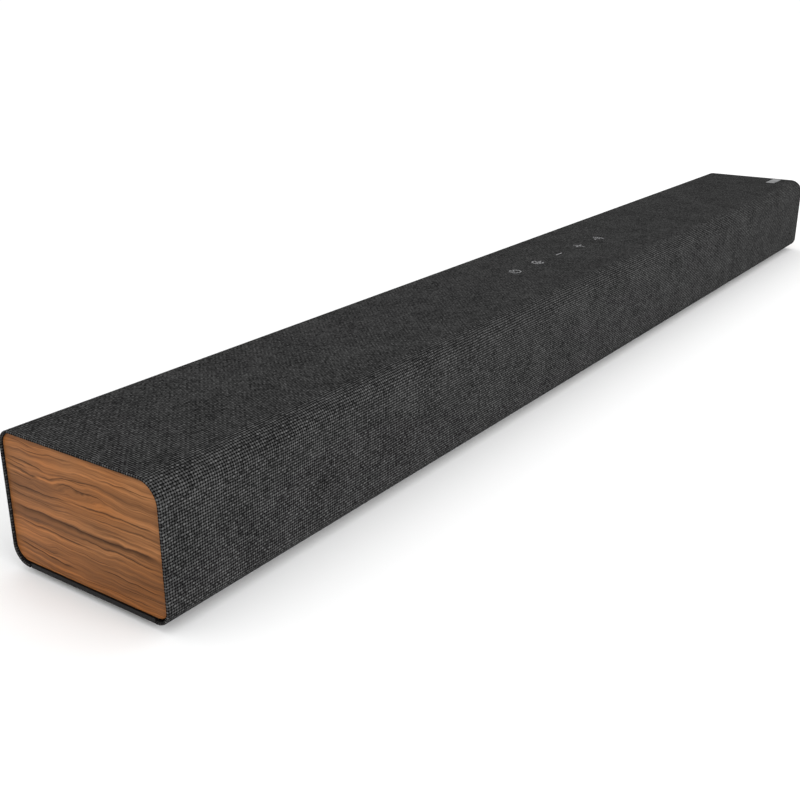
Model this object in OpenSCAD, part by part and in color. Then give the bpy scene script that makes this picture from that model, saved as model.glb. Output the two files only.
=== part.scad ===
// Fabric-wrapped soundbar with walnut end panels, built as an assembly of separate parts.
// Frame: X runs along the bar, -Y is the front, +Z is up, and z = 0 is the plane that the feet stand on.

/* [Bar] */
// Overall length of the bar
bar_l = 890; // [740:1:1100]
// Overall depth, front to rear
bar_d = 102; // [85:0.5:124]
// Height of the wrapped body, without its feet
body_h = 67.5; // [56:0.5:82]
// Radius of the front top edge
r_top_front = 11.5; // [9:0.5:14]
// Radius of the rear top edge
r_top_rear = 8; // [6.5:0.5:12]
// Radius of the front bottom edge
r_bottom_front = 8; // [6.5:0.5:12]
// Radius of the rear bottom edge
r_bottom_rear = 9.5; // [7.5:0.5:12]

/* [Skin and housing] */
// Thickness of the woven sleeve
fabric_t = 0.8; // [0.5:0.1:1.2]
// Wall of the moulded carrier under the sleeve
carrier_t = 2.4; // [1.8:0.1:3.2]
// Thin wall of the carrier around each wood panel
lip_t = 0.5; // [0.3:0.1:0.9]
// Depth that each wood panel stands back from the end of the bar
panel_recess = 1; // [0.5:0.1:2]
// Thickness of a wood panel
panel_t = 4; // [3:0.5:6]
// Thickness of the moulded frame behind a wood panel
end_frame_t = 2.5; // [2:0.5:4]
// Thickness of the bottom plate
plate_t = 2.2; // [1.8:0.1:3]
// Gap between the bottom plate and the hem of the sleeve, each side
plate_gap = 0.8; // [0.5:0.1:1.5]
// Wall of the speaker boxes
box_wall = 2; // [1.6:0.1:3]

/* [Feet and screws] */
// Height that the feet stand below the body
foot_h = 3; // [1:0.5:5]
// Length of a foot pad
foot_l = 46; // [30:1:60]
// Width of a foot pad
foot_w = 12; // [8:1:16]
// Distance from the end of the bar to the middle of a foot
foot_inset = 70; // [60:1:90]
// Radius of the screw shank hole in the bottom plate
screw_hole_r = 1.7; // [1.4:0.1:2.2]
// Radius of a screw head
screw_head_r = 2.9; // [2.4:0.1:3.4]

/* [Top keys] */
// Distance between neighbouring keys
key_pitch = 33; // [27:0.5:40]
// Where the middle key lies along the bar
key_row_x = 3; // [-10:0.5:10]
// Where the key row lies across the bar
key_row_y = 2.5; // [-4:0.5:6]
// Width of a key cap along the bar
key_w = 18; // [15:0.5:22]
// Depth of a key cap across the bar
key_d = 14; // [11:0.5:17]
// Travel of a key
key_travel = 0.6; // [0.4:0.1:0.8]
// Size of the marks printed over the keys
icon_size = 9; // [7:0.5:11]

/* [Drivers] */
// Distance from the end of the bar to the axis of a front driver
driver_inset = 84; // [70:1:100]
// Stroke of a front driver cone, each way
driver_stroke = 2; // [1:0.1:2.4]
// Stroke of the woofer cone, each way
woofer_stroke = 4; // [3:0.1:4.8]
// Length of the reflex port tube
port_l = 40; // [30:1:46]
// Inner radius of the reflex port tube
port_r = 10; // [8:0.5:12]

/* [Rear connectors and wall mount] */
// Clear width of the connector bay
bay_w = 152; // [127:1:182]
// Depth of the connector bay behind the rear face
bay_depth = 26; // [22:0.5:31]
// Distance from the end of the bar to a wall keyhole
keyhole_inset = 95; // [80:1:114]
// Radius of the round entry of a keyhole
keyhole_r = 4.75; // [4:0.25:5.5]
// Half width of the narrow part of a keyhole
keyhole_slot_r = 2.6; // [2.2:0.1:3]
// Length of the narrow part, from the middle of the entry
keyhole_slot_l = 9; // [7:0.5:10.5]
// Radius of the audio jack hole
aux_r = 1.8; // [1.75:0.05:2]

/* [Hidden] */
$fn = 48;

// Clearances
fit = 0.2;         // between fixed parts that are slid together
slide_gap = 0.3;   // round a moving key
running_gap = 0.05; // between the flap's pin and its hole, on the radius
over = 1;          // how far a cutter runs past the face it cuts

// Body heights
z0 = foot_h;
z_top = z0 + body_h;
carrier_top = z_top - fabric_t;
ceiling = carrier_top - carrier_t;
plate_top = z0 + plate_t;

// Ends of the stack along the bar
rib_h = 3;
half_l = bar_l / 2;
panel_out = half_l - panel_recess;
panel_in = panel_out - panel_t;
frame_in = panel_in - end_frame_t;

// Front and rear faces of the sleeve and of the carrier
face = bar_d / 2;
carrier_face = face - fabric_t;
inner_face = carrier_face - carrier_t;

// Bottom opening: the sleeve turns in just past the bottom corner rounds
hem_past = 0.4;
hem_front = -face + r_bottom_front + hem_past;
hem_rear = face - r_bottom_rear - hem_past - 0.5;
plate_front = hem_front + plate_gap;
plate_rear = hem_rear - plate_gap;
plate_mid = (plate_front + plate_rear) / 2;

// Corner rounds
arc_steps = 10;

function arc_points(c, r, from, span = 90, steps = arc_steps) =
    [for (i = [0:steps]) [c[0] + r * cos(from + span * i / steps), c[1] + r * sin(from + span * i / steps)]];

// The bar's cross-section, taken in by inset all round; floor_in is the extra rise of its bottom edge.
function bar_outline(inset, floor_in = 0) =
    let (low = z0 + inset + floor_in)
    concat(
        arc_points([face - r_bottom_rear, low + r_bottom_rear - inset], r_bottom_rear - inset, 270),
        arc_points([face - r_top_rear, z_top - r_top_rear], r_top_rear - inset, 0),
        arc_points([-face + r_top_front, z_top - r_top_front], r_top_front - inset, 90),
        arc_points([-face + r_bottom_front, low + r_bottom_front - inset], r_bottom_front - inset, 180)
    );

// A rounded rectangle about the origin
function round_rect(w, h, r, steps = 6) = concat(
    arc_points([w / 2 - r, -h / 2 + r], r, 270, 90, steps),
    arc_points([w / 2 - r, h / 2 - r], r, 0, 90, steps),
    arc_points([-w / 2 + r, h / 2 - r], r, 90, 90, steps),
    arc_points([-w / 2 + r, -h / 2 + r], r, 180, 90, steps)
);

// A slab of a cross-section in (Y, Z) from x = from to x = to
module along_x(from, to) {
    translate([from, 0, 0]) rotate([90, 0, 90]) linear_extrude(height = to - from) children();
}

// A slab of an outline in (X, Z) from y = from to y = to
module along_y(from, to) {
    translate([0, to, 0]) rotate([90, 0, 0]) linear_extrude(height = to - from) children();
}

// A slab of an outline in (X, Y) from z = from to z = to
module along_z(from, to) {
    translate([0, 0, from]) linear_extrude(height = to - from) children();
}

// A block between two opposite corners
module block(low, high) {
    translate(low) cube(high - low);
}

module both_ends() {
    children();
    mirror([1, 0, 0]) children();
}

// ---------------------------------------------------------------- where things are

// Base screws stand in pairs between the modules
tab_l = 16;
tab_gap = 1;      // from a screw tab to the module beside it
box_gap = 0.6;    // round a box, to its neighbours
tab_w = 8.5;
tab_t = 2.4;
tab_in = 1.8;      // where a tab meets the rounded corner inside the housing
boss_r = 3.5;
boss_h = 6;
end_screw_x = frame_in - rib_h - fit - boss_r - 1;
bay_wall = 2;
bay_out = bay_w / 2 + bay_wall;
mid_screw_x = bay_out + boss_r + 3.5;
module_in = mid_screw_x + tab_l / 2 + tab_gap;
screw_front_y = plate_front + 3.8;
screw_rear_y = plate_rear - 3.8;

// The woofer box lies left of the bay and the power board right of it
woofer_side_gap = 2.7;
woofer_r = (plate_rear - plate_front) / 2 - woofer_side_gap;
port_wall = 2;
port_out_r = port_r + port_wall;
box_margin = 10;
port_x = -module_in - box_wall - port_out_r - box_margin;
woofer_x = port_x - port_out_r - box_margin - woofer_r - box_margin;
module_out = -woofer_x + woofer_r + box_margin / 2 + box_wall;
part_screw_x = module_out + tab_l / 2 + tab_gap;
speaker_in = part_screw_x + tab_l / 2 + tab_gap;
speaker_out = end_screw_x - tab_l / 2 - tab_gap;
screw_x = [end_screw_x, part_screw_x, mid_screw_x];

// Front drivers sit in the flat part of the front wall
driver_margin = 1;
driver_z = (z0 + r_bottom_front + z_top - r_top_front) / 2;
driver_r = (body_h - r_bottom_front - r_top_front) / 2 - driver_margin;
driver_x = half_l - driver_inset;

// Connector bay and the board behind it
bay_floor = face - bay_depth;
bay_rim = 5;
rim_corner_r = 3;
bay_low = z0 + r_bottom_rear + bay_rim + 0.5;
bay_high = z_top - r_top_rear - bay_rim - 4.5;
bay_z = (bay_low + bay_high) / 2;
socket_l = 11;
board_t = 1.6;
board_rear = bay_floor - socket_l;
board_front = board_rear - board_t;
board_low = plate_top + 6.8;
board_high = z_top - 19.5;
aux_x = -bay_w / 2 + 16;
hdmi_x = -bay_w / 2 + 44;
optical_x = -bay_w / 2 + 72;
usb_x = bay_w / 2 - 52;
power_x = bay_w / 2 - 20;

// Wall keyholes
keyhole_x = half_l - keyhole_inset;
insert_w = 42;
insert_h = 27;
insert_depth = 14;
insert_rim = 3;
keyhole_z = z0 + r_bottom_rear + insert_rim + insert_h / 2 + 2;
insert_front_t = 2.4;

// Key stack, from the sleeve down
key_gap = 0.2;
key_x = [for (i = [-2:2]) key_row_x + i * key_pitch];
key_top = carrier_top - key_gap;
key_flange_t = 1.2;
key_flange = 2;
key_flange_top = ceiling - slide_gap;
key_low = key_flange_top - key_flange_t;
key_boss_l = 3.2;
key_boss_r = 3;
key_boss_low = key_low - key_boss_l;
stem_r = 1.75;
stem_l = 2.2;
switch_w = 6.2;
switch_h = 3.4;
switch_top = key_boss_low - key_travel - 0.4;
switch_hole_r = stem_r + 0.15;
switch_hole_low = key_boss_low - stem_l - key_travel - 0.4;
key_board_top = switch_top - switch_h;
key_board_low = key_board_top - board_t;
key_board_w = 4 * key_pitch + 28;
key_board_d = 22;
bracket_t = 1.6;
bracket_w = key_board_w + 22;
bracket_d = 26;
bracket_post_r = 3.5;

// ---------------------------------------------------------------- skin and housing

module bottom_cut(front, rear, top) {
    along_x(-half_l - over, half_l + over)
        translate([front, z0 - over]) square([rear - front, top - z0 + over]);
}

module rear_rim_cut(w, h, x, z, gap, from) {
    translate([x, 0, z]) along_y(from, face + over)
        polygon(round_rect(w + 2 * gap, h + 2 * gap, rim_corner_r + gap));
}

module fabric_sleeve() {
    color("#38383a")
    difference() {
        along_x(-half_l, half_l) polygon(bar_outline(0));
        along_x(-half_l - over, half_l + over) polygon(bar_outline(fabric_t));
        bottom_cut(hem_front, hem_rear, z0 + fabric_t + over);
        rear_rim_cut(bay_w + 2 * bay_rim, bay_high - bay_low + 2 * bay_rim, 0, bay_z, fit, inner_face);
        for (s = [-1, 1])
            rear_rim_cut(insert_w + 2 * insert_rim, insert_h + 2 * insert_rim,
                         s * keyhole_x, keyhole_z, fit, inner_face);
    }
}

// Holes in rings of 6, 12, 18... about a middle hole, along Z
module ring_holes(rings, step, r, h) {
    cylinder(h = h, r = r, center = true, $fn = 24);
    for (ring = [1:rings])
        for (i = [0:6 * ring - 1])
            rotate([0, 0, i * 60 / ring]) translate([ring * step, 0, 0])
                cylinder(h = h, r = r, center = true, $fn = 24);
}

module screw_tabs() {
    tab_high = plate_top + tab_t;
    for (x = screw_x)
        both_ends() {
            block([x - tab_l / 2, -inner_face + tab_in, plate_top],
                  [min(x + tab_l / 2, frame_in - rib_h - fit), plate_front + tab_w, tab_high]);
            block([x - tab_l / 2, plate_rear - tab_w, plate_top],
                  [min(x + tab_l / 2, frame_in - rib_h - fit), inner_face - tab_in, tab_high]);
            for (y = [screw_front_y, screw_rear_y])
                translate([x, y, plate_top]) cylinder(h = boss_h, r = boss_r);
        }
}

status_pitch = 7;
status_x = [for (i = [-2:2]) key_row_x + i * status_pitch];
status_lens_r = 1.1;
ir_x = key_row_x + 4.2 * status_pitch;
ir_lens_r = 2.4;
status_board_front = inner_face - 1.8;
status_board_h = 12;
ir_body_w = 6.8;
status_post_x = [key_row_x - 3.2 * status_pitch, key_row_x + 3 * status_pitch];

module front_hole(x, r) {
    translate([x, -inner_face + over, driver_z]) rotate([90, 0, 0]) cylinder(h = carrier_t + 2 * over, r = r);
}

module grille_carrier() {
    color("#1a1a1b")
    difference() {
        union() {
            difference() {
                along_x(-half_l, half_l) polygon(bar_outline(fabric_t));
                along_x(-half_l - over, half_l + over) polygon(bar_outline(fabric_t + carrier_t));
                bottom_cut(plate_front - 0.5, plate_rear + 0.5, z0 + fabric_t + carrier_t + over);
            }
            screw_tabs();
            for (x = status_post_x)
                translate([x, -status_board_front, driver_z]) rotate([90, 0, 0])
                    cylinder(h = inner_face - status_board_front + carrier_t / 2, r = 2.5);
        }
        // seats of the wood panels
        both_ends() along_x(panel_in, half_l + over) polygon(bar_outline(fabric_t + lip_t));
        // key windows
        for (x = key_x)
            translate([x, key_row_y, 0])
                block([-key_w / 2 - slide_gap, -key_d / 2 - slide_gap, ceiling - over],
                      [key_w / 2 + slide_gap, key_d / 2 + slide_gap, z_top]);
        // sound holes in front of the drivers
        for (s = [-1, 1])
            translate([s * driver_x, -face, driver_z]) rotate([90, 0, 0])
                ring_holes(3, driver_r * 0.27, driver_r * 0.09, 4 * carrier_t);
        // light holes
        for (x = status_x)
            front_hole(x, status_lens_r + 0.1);
        front_hole(ir_x, ir_lens_r + fit);
        // pilot holes for the base screws
        for (x = screw_x, s = [-1, 1], y = [screw_front_y, screw_rear_y])
            translate([s * x, y, plate_top]) cylinder(h = boss_h - 0.8, r = screw_hole_r - 0.3);
        // rear openings
        translate([0, 0, bay_z]) along_y(inner_face - over, face + over)
            square([2 * bay_out + 2 * fit, bay_high - bay_low + 2 * bay_wall + 2 * fit], center = true);
        for (s = [-1, 1])
            translate([s * keyhole_x, 0, keyhole_z]) along_y(inner_face - over, face + over)
                square([insert_w + 2 * fit, insert_h + 2 * fit], center = true);
    }
}

panel_inset = fabric_t + lip_t + 0.1;
panel_floor = plate_t + 0.3 - panel_inset; // stands clear of the bottom plate

module wood_panel() {
    color("#9a6238") along_x(panel_in, panel_out) polygon(bar_outline(panel_inset, panel_floor));
}

module end_frame() {
    rib_t = 1.6;
    rib_short = 8;
    inset = fabric_t + carrier_t + fit;
    color("#202021") {
        along_x(frame_in, panel_in) polygon(bar_outline(inset));
        for (z = [driver_z - 12, driver_z + 12])
            block([frame_in - rib_h, -inner_face + rib_short, z - rib_t / 2],
                  [frame_in + 0.1, inner_face - rib_short, z + rib_t / 2]);
        block([frame_in - rib_h, -rib_t / 2, driver_z - 18], [frame_in + 0.1, rib_t / 2, driver_z + 18]);
    }
}

foot_x = half_l - foot_inset;
foot_front_y = plate_front + 6 + foot_w / 2;
foot_rear_y = plate_rear - 6 - foot_w / 2;
foot_seat = 0.8;
screw_head_h = 1.5;

module foot_places() {
    for (s = [-1, 1], y = [foot_front_y, foot_rear_y]) translate([s * foot_x, y, 0]) children();
}

module base_screw_places() {
    for (x = screw_x, s = [-1, 1], y = [screw_front_y, screw_rear_y]) translate([s * x, y, 0]) children();
}

power_board_low = plate_top + 8;
power_in = module_in + 4;
power_out = module_out;
power_front = plate_front + 9;
power_rear = plate_rear - 9;
power_post_r = 3;
power_post_x = [power_in + 5, power_out - 5];
power_post_y = [power_front + 5, power_rear - 5];

module base_plate() {
    color("#171718")
    difference() {
        union() {
            block([-half_l + 0.4, plate_front, z0], [half_l - 0.4, plate_rear, plate_top]);
            for (x = power_post_x, y = power_post_y)
                translate([x, y, plate_top - 0.5])
                    cylinder(h = power_board_low - plate_top + 0.5, r = power_post_r);
        }
        base_screw_places() {
            translate([0, 0, z0 - over]) cylinder(h = plate_t + 2 * over, r = screw_hole_r);
            translate([0, 0, z0 - over]) cylinder(h = screw_head_h + 0.1 + over, r = screw_head_r + 0.3);
        }
        foot_places() along_z(z0 - over, z0 + foot_seat)
            polygon(round_rect(foot_l + 2 * fit, foot_w + 2 * fit, foot_w / 2 - 0.5));
        translate([woofer_x, plate_mid, z0]) ring_holes(4, woofer_r * 0.17, woofer_r * 0.055, 4 * plate_t);
        translate([port_x, plate_mid, z0 - over]) cylinder(h = plate_t + 2 * over, r = port_r);
    }
}

module rubber_feet() {
    groove = 0.6;
    color("#111112")
    foot_places() difference() {
        along_z(0, z0 + foot_seat) polygon(round_rect(foot_l, foot_w, foot_w / 2 - 0.7));
        for (x = [-1, 0, 1])
            translate([x * foot_l / 5, 0, 0]) cube([1.2, foot_w - 5, 2 * groove], center = true);
    }
}

// A pan-head screw, head down, with its shank upwards from z = 0
module screw(r, head_r, head_h, l) {
    difference() {
        union() {
            cylinder(h = head_h, r1 = head_r - 0.4, r2 = head_r);
            translate([0, 0, head_h / 2]) cylinder(h = l, r = r);
        }
        for (a = [0, 90])
            rotate([0, 0, a]) cube([1.3 * head_r, 0.7, 1.4 * head_h / 1.5], center = true);
    }
}

module base_screws() {
    color("#2b2b2d")
    base_screw_places() translate([0, 0, z0])
        screw(screw_hole_r - 0.35, screw_head_r, screw_head_h, plate_t + boss_h - 3);
}

// ---------------------------------------------------------------- rear bay and wall mount

module socket_window(x, w, h) {
    translate([x, 0, bay_z]) along_y(bay_floor - bay_wall - over, bay_floor + over)
        square([w + fit, h + fit], center = true);
}

power_w = 22;
power_h = 15;
hdmi_w = 15.4;
hdmi_h = 6.2;
optical_w = 10.4;
optical_h = 10.8;
usb_w = 14.4;
usb_h = 7.2;
aux_w = 9;
socket_wall = 0.6;

module rear_bay() {
    bay_h = bay_high - bay_low;
    color("#161617")
    difference() {
        translate([0, 0, bay_z]) union() {
            along_y(carrier_face, face)
                polygon(round_rect(bay_w + 2 * bay_rim, bay_h + 2 * bay_rim, rim_corner_r));
            along_y(bay_floor - bay_wall, carrier_face + 0.1)
                square([2 * bay_out, bay_h + 2 * bay_wall], center = true);
        }
        translate([0, 0, bay_z]) along_y(bay_floor, face + over) square([bay_w, bay_h], center = true);
        socket_window(power_x, power_w, power_h);
        socket_window(hdmi_x, hdmi_w, hdmi_h);
        socket_window(optical_x, optical_w, optical_h);
        socket_window(usb_x, usb_w, usb_h);
        translate([aux_x, bay_floor + over, bay_z]) rotate([90, 0, 0])
            cylinder(h = bay_wall + 2 * over, r = (aux_w + fit) / 2);
    }
}

module keyhole_insert() {
    back = face - insert_depth;
    color("#1b1b1c")
    translate([keyhole_x, 0, keyhole_z])
    difference() {
        union() {
            along_y(carrier_face, face)
                polygon(round_rect(insert_w + 2 * insert_rim, insert_h + 2 * insert_rim, rim_corner_r));
            along_y(back, carrier_face + 0.1) square([insert_w, insert_h], center = true);
        }
        along_y(back + 1.6, face - insert_front_t) square([insert_w - 4, insert_h - 4], center = true);
        for (end = [[-keyhole_slot_l / 2, keyhole_r], [keyhole_slot_l / 2, keyhole_slot_r]])
            translate([0, face + over, end[0]]) rotate([90, 0, 0])
                cylinder(h = insert_front_t + 2 * over, r = end[1]);
        along_y(face - insert_front_t - over, face + over)
            translate([-keyhole_slot_r, -keyhole_slot_l / 2]) square([2 * keyhole_slot_r, keyhole_slot_l]);
    }
}

// ---------------------------------------------------------------- top marks

mark_t = 0.12;
line_w = 1.1;
badge_w = 26;
badge_d = 8.5;
badge_t = 0.35;

module stroke(a, b) {
    d = b - a;
    translate(a) rotate([0, 0, atan2(d[1], d[0])])
        translate([-line_w / 2, -line_w / 2]) square([norm(d) + line_w, line_w]);
}

module arc_stroke(r, from, to) {
    outer = arc_points([0, 0], r + line_w / 2, from, to - from, 16);
    inner = arc_points([0, 0], r - line_w / 2, to, from - to, 16);
    polygon(concat(outer, inner));
}

module icon_power() {
    r = icon_size / 2;
    arc_stroke(r - line_w / 2, 125, 415);
    translate([-line_w / 2, 0]) square([line_w, r + 0.3]);
}

module icon_input() {
    r = icon_size / 2;
    arc_stroke(r - line_w / 2, 50, 310);
    stroke([-r / 4, 0], [r, 0]);
    stroke([-r / 4, 0], [r / 3, r / 2]);
    stroke([-r / 4, 0], [r / 3, -r / 2]);
}

module icon_bar() {
    stroke([-icon_size / 2 + line_w / 2, 0], [icon_size / 2 - line_w / 2, 0]);
}

module icon_plus() {
    icon_bar();
    rotate([0, 0, 90]) icon_bar();
}

// Radio waves: a dot and two arcs
module icon_pairing() {
    translate([-icon_size / 2 + 1, 0]) {
        circle(r = line_w, $fn = 24);
        arc_stroke(icon_size * 0.42, -42, 42);
        arc_stroke(icon_size * 0.75, -42, 42);
    }
}

module control_icons() {
    color("#8d8d8f") {
        translate([key_x[0], key_row_y, 0]) along_z(z_top, z_top + mark_t) icon_power();
        translate([key_x[1], key_row_y, 0]) along_z(z_top, z_top + mark_t) icon_input();
        translate([key_x[2], key_row_y, 0]) along_z(z_top, z_top + mark_t) icon_bar();
        translate([key_x[3], key_row_y, 0]) along_z(z_top, z_top + mark_t) icon_plus();
        translate([key_x[4], key_row_y, 0]) along_z(z_top, z_top + mark_t) icon_pairing();
    }
}

module badge() {
    color("#8f9092")
    translate([half_l - 6 - badge_w / 2, -face + r_top_front + 4 + badge_d, 0])
        along_z(z_top, z_top + badge_t) polygon(round_rect(badge_w, badge_d, 1.2));
}

// ---------------------------------------------------------------- keys

module key_cap(i) {
    color("#3c3c3e")
    translate([key_x[i], key_row_y, 0]) {
        block([-key_w / 2, -key_d / 2, key_low], [key_w / 2, key_d / 2, key_top]);
        block([-key_w / 2 - key_flange, -key_d / 2 - key_flange, key_low],
              [key_w / 2 + key_flange, key_d / 2 + key_flange, key_flange_top]);
        translate([0, 0, key_boss_low]) cylinder(h = key_boss_l + 0.5, r = key_boss_r);
    }
}

module switch_stem(i) {
    color("#c9c6bd") translate([key_x[i], key_row_y, key_boss_low - stem_l]) cylinder(h = stem_l, r = stem_r);
}

module tact_switches() {
    color("#57585a")
    for (x = key_x)
        translate([x, key_row_y, 0]) difference() {
            block([-switch_w / 2, -switch_w / 2, key_board_top], [switch_w / 2, switch_w / 2, switch_top]);
            translate([0, 0, switch_hole_low])
                cylinder(h = switch_top - switch_hole_low + over, r = switch_hole_r);
        }
}

module key_board() {
    color("#1f5a3a")
    translate([key_row_x, key_row_y, 0])
        block([-key_board_w / 2, -key_board_d / 2, key_board_low],
              [key_board_w / 2, key_board_d / 2, key_board_top]);
}

module keypad_bracket() {
    color("#28282a")
    translate([key_row_x, key_row_y, 0]) {
        block([-bracket_w / 2, -bracket_d / 2, key_board_low - bracket_t],
              [bracket_w / 2, bracket_d / 2, key_board_low]);
        for (x = [-1, 1] * (bracket_w / 2 - bracket_post_r), y = [-1, 1] * (bracket_d / 2 - bracket_post_r))
            translate([x, y, key_board_low - 0.5])
                cylinder(h = ceiling - key_board_low + 0.5, r = bracket_post_r);
    }
}

// ---------------------------------------------------------------- status lights and remote receiver

module status_board() {
    color("#1f5a3a")
    block([status_post_x[0] - 4, -status_board_front, driver_z - status_board_h / 2],
          [ir_x + 6, -status_board_front + board_t, driver_z + status_board_h / 2]);
}

module status_lenses() {
    color("#e8e8e4")
    for (x = status_x)
        translate([x, -status_board_front, driver_z]) rotate([90, 0, 0])
            cylinder(h = carrier_face - status_board_front - 0.1, r = status_lens_r);
}

module ir_receiver() {
    color("#3a2024") {
        translate([ir_x, -status_board_front, driver_z]) rotate([90, 0, 0])
            cylinder(h = carrier_face - status_board_front - 0.3, r = ir_lens_r);
        block([ir_x - ir_body_w / 2, -inner_face + fit, driver_z - ir_body_w / 2],
              [ir_x + ir_body_w / 2, -status_board_front, driver_z + ir_body_w / 2]);
    }
}

// ---------------------------------------------------------------- main electronics

chip_t = 1.6;

module main_board() {
    color("#1d5a38")
    difference() {
        block([-bay_w / 2, board_front, board_low], [bay_w / 2, board_rear, board_high]);
        for (x = [-1, 1], z = [board_low + 5, board_high - 5])
            translate([x * (bay_w / 2 - 5), board_rear + over, z]) rotate([90, 0, 0])
                cylinder(h = board_t + 2 * over, r = 1.6);
    }
}

heatsink_x = [4, 50];

module board_chips() {
    // each chip's place along the bar, its width and its height
    chips = [[27, 14, 14], [-18, 12, 12], [-44, 10, 8], [-60, 7, 6]];
    color("#141414")
    for (c = chips)
        block([c[0] - c[1] / 2, board_front - chip_t, bay_z - c[2] / 2],
              [c[0] + c[1] / 2, board_front, bay_z + c[2] / 2]);
}

module amplifier_heatsink() {
    foot = board_front - chip_t;
    fin_t = 1.4;
    fins = 7;
    span = heatsink_x[1] - heatsink_x[0];
    color("#9a9c9e") {
        block([heatsink_x[0], foot - 2.5, board_low + 3], [heatsink_x[1], foot, board_high - 3]);
        for (i = [0:fins - 1]) {
            x = heatsink_x[0] + i * (span - fin_t) / (fins - 1);
            block([x, foot - 15, board_low + 3], [x + fin_t, foot - 2, board_high - 3]);
        }
    }
}

power_board_top = power_board_low + board_t;

module power_board() {
    color("#8a6f3c")
        block([power_in, power_front, power_board_low], [power_out, power_rear, power_board_top]);
}

module power_transformer() {
    x = power_in + 34;
    color("#c9a227") {
        block([x - 17, plate_mid - 15, power_board_top], [x + 17, plate_mid + 15, power_board_top + 6]);
        block([x - 12, plate_mid - 15, power_board_top + 5], [x + 12, plate_mid + 15, power_board_top + 26]);
        block([x - 17, plate_mid - 11, power_board_top + 5], [x + 17, plate_mid + 11, power_board_top + 20]);
    }
}

module power_capacitors() {
    cap_r = 9;
    cap_h = 30;
    color("#20242c")
    for (s = [-1, 1])
        translate([power_out - 22, plate_mid + s * (cap_r + 3), power_board_top]) {
            cylinder(h = cap_h - 2, r = cap_r);
            cylinder(h = cap_h, r = cap_r - 1);
        }
}

// ---------------------------------------------------------------- sockets

module on_bay(x) {
    translate([x, 0, bay_z]) children();
}

module power_inlet() {
    cavity_w = 15;
    cavity_h = 8.2;
    pin_r = 1.2;
    pin_x = 4.3;
    cavity_depth = socket_l - 2;
    color("#232325")
    on_bay(power_x) {
        difference() {
            along_y(board_rear, bay_floor) square([power_w, power_h], center = true);
            along_y(bay_floor - cavity_depth, bay_floor + over)
                polygon(round_rect(cavity_w, cavity_h, cavity_h / 2 - 0.05, arc_steps));
        }
        for (s = [-1, 1])
            translate([s * pin_x, bay_floor - 1.5, 0]) rotate([90, 0, 0])
                cylinder(h = cavity_depth - 1, r = pin_r);
    }
}

module hdmi_socket() {
    chamfer = 1.8;
    w = hdmi_w / 2 - socket_wall;
    h = hdmi_h / 2 - socket_wall;
    color("#b9babd")
    on_bay(hdmi_x) {
        difference() {
            along_y(board_rear, bay_floor) square([hdmi_w, hdmi_h], center = true);
            along_y(board_rear + 1.5, bay_floor + over)
                polygon([[-w, h], [w, h], [w, -h + chamfer], [w - chamfer, -h],
                         [-w + chamfer, -h], [-w, -h + chamfer]]);
        }
        along_y(board_rear + 1, bay_floor - 1) translate([0, 0.4]) square([11, 1.2], center = true);
    }
}

module usb_socket() {
    color("#b9babd")
    on_bay(usb_x) {
        difference() {
            along_y(board_rear, bay_floor) square([usb_w, usb_h], center = true);
            along_y(board_rear + 1.5, bay_floor + over)
                square([usb_w - 2 * socket_wall, usb_h - 2 * socket_wall], center = true);
        }
        along_y(board_rear + 1, bay_floor - 1) translate([0, 1.3]) square([11, 1.8], center = true);
    }
}

module aux_socket() {
    color("#26262a")
    on_bay(aux_x) difference() {
        union() {
            along_y(board_rear, bay_floor - bay_wall - 0.1) square([aux_w + 1.4, aux_w + 1.4], center = true);
            translate([0, bay_floor, 0]) rotate([90, 0, 0]) cylinder(h = bay_wall + 1, r = aux_w / 2);
        }
        translate([0, bay_floor + over, 0]) rotate([90, 0, 0]) cylinder(h = socket_l - 1 + over, r = aux_r);
    }
}

// The optical socket's dust flap hangs from a pin at the top of its mouth and swings inwards.
optical_cavity_w = 7.4;
optical_cavity_h = 8.4;
flap_t = 0.8;
flap_w = 6.8;
flap_pin_r = 0.5;
flap_pin_l = 8.6;
flap_axis_y = bay_floor - 1.2;
flap_axis_z = bay_z + optical_cavity_h / 2 - 0.9;
flap_l = optical_cavity_h - 0.9 - 0.5;

module optical_socket() {
    color("#19191b")
    difference() {
        on_bay(optical_x) along_y(board_rear, bay_floor) square([optical_w, optical_h], center = true);
        on_bay(optical_x) along_y(bay_floor - socket_l + 1.6, bay_floor + over)
            square([optical_cavity_w, optical_cavity_h], center = true);
        translate([optical_x, flap_axis_y, flap_axis_z]) rotate([0, 90, 0])
            cylinder(h = flap_pin_l + 0.4, r = flap_pin_r + running_gap, center = true);
    }
}

module optical_shutter() {
    color("#3a3a3d")
    translate([optical_x, flap_axis_y, flap_axis_z]) {
        rotate([0, 90, 0]) cylinder(h = flap_pin_l, r = flap_pin_r, center = true);
        block([-flap_w / 2, -flap_t / 2, -flap_l], [flap_w / 2, flap_t / 2, 0]);
    }
}

// ---------------------------------------------------------------- drivers

// A driver is [frame radius, depth of the surround's seat, roll radius, cone depth,
//              coil radius, magnet radius, magnet height, stroke].
// Local frame: z = 0 is the front of the flange, and the driver's back lies towards -z.
small_driver = [driver_r, 3.4, 2.2, 8, driver_r * 0.28, driver_r * 0.62, 9, driver_stroke];
big_driver = [woofer_r, 7, 4, 11, woofer_r * 0.28, woofer_r * 0.6, 12, woofer_stroke];

flange_w = 4.4;
flange_t = 2;
flange_screw_in = 1.7; // from the flange's rim to the middle of a screw
seat_w = 1.5;
sheet_t = 0.6;
basket_t = 1.4;
coil_l = 4;
terminal_w = 8;
terminal_t = 1.6;
terminal_l = 7;
terminal_depth = flange_t + 4;

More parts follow.
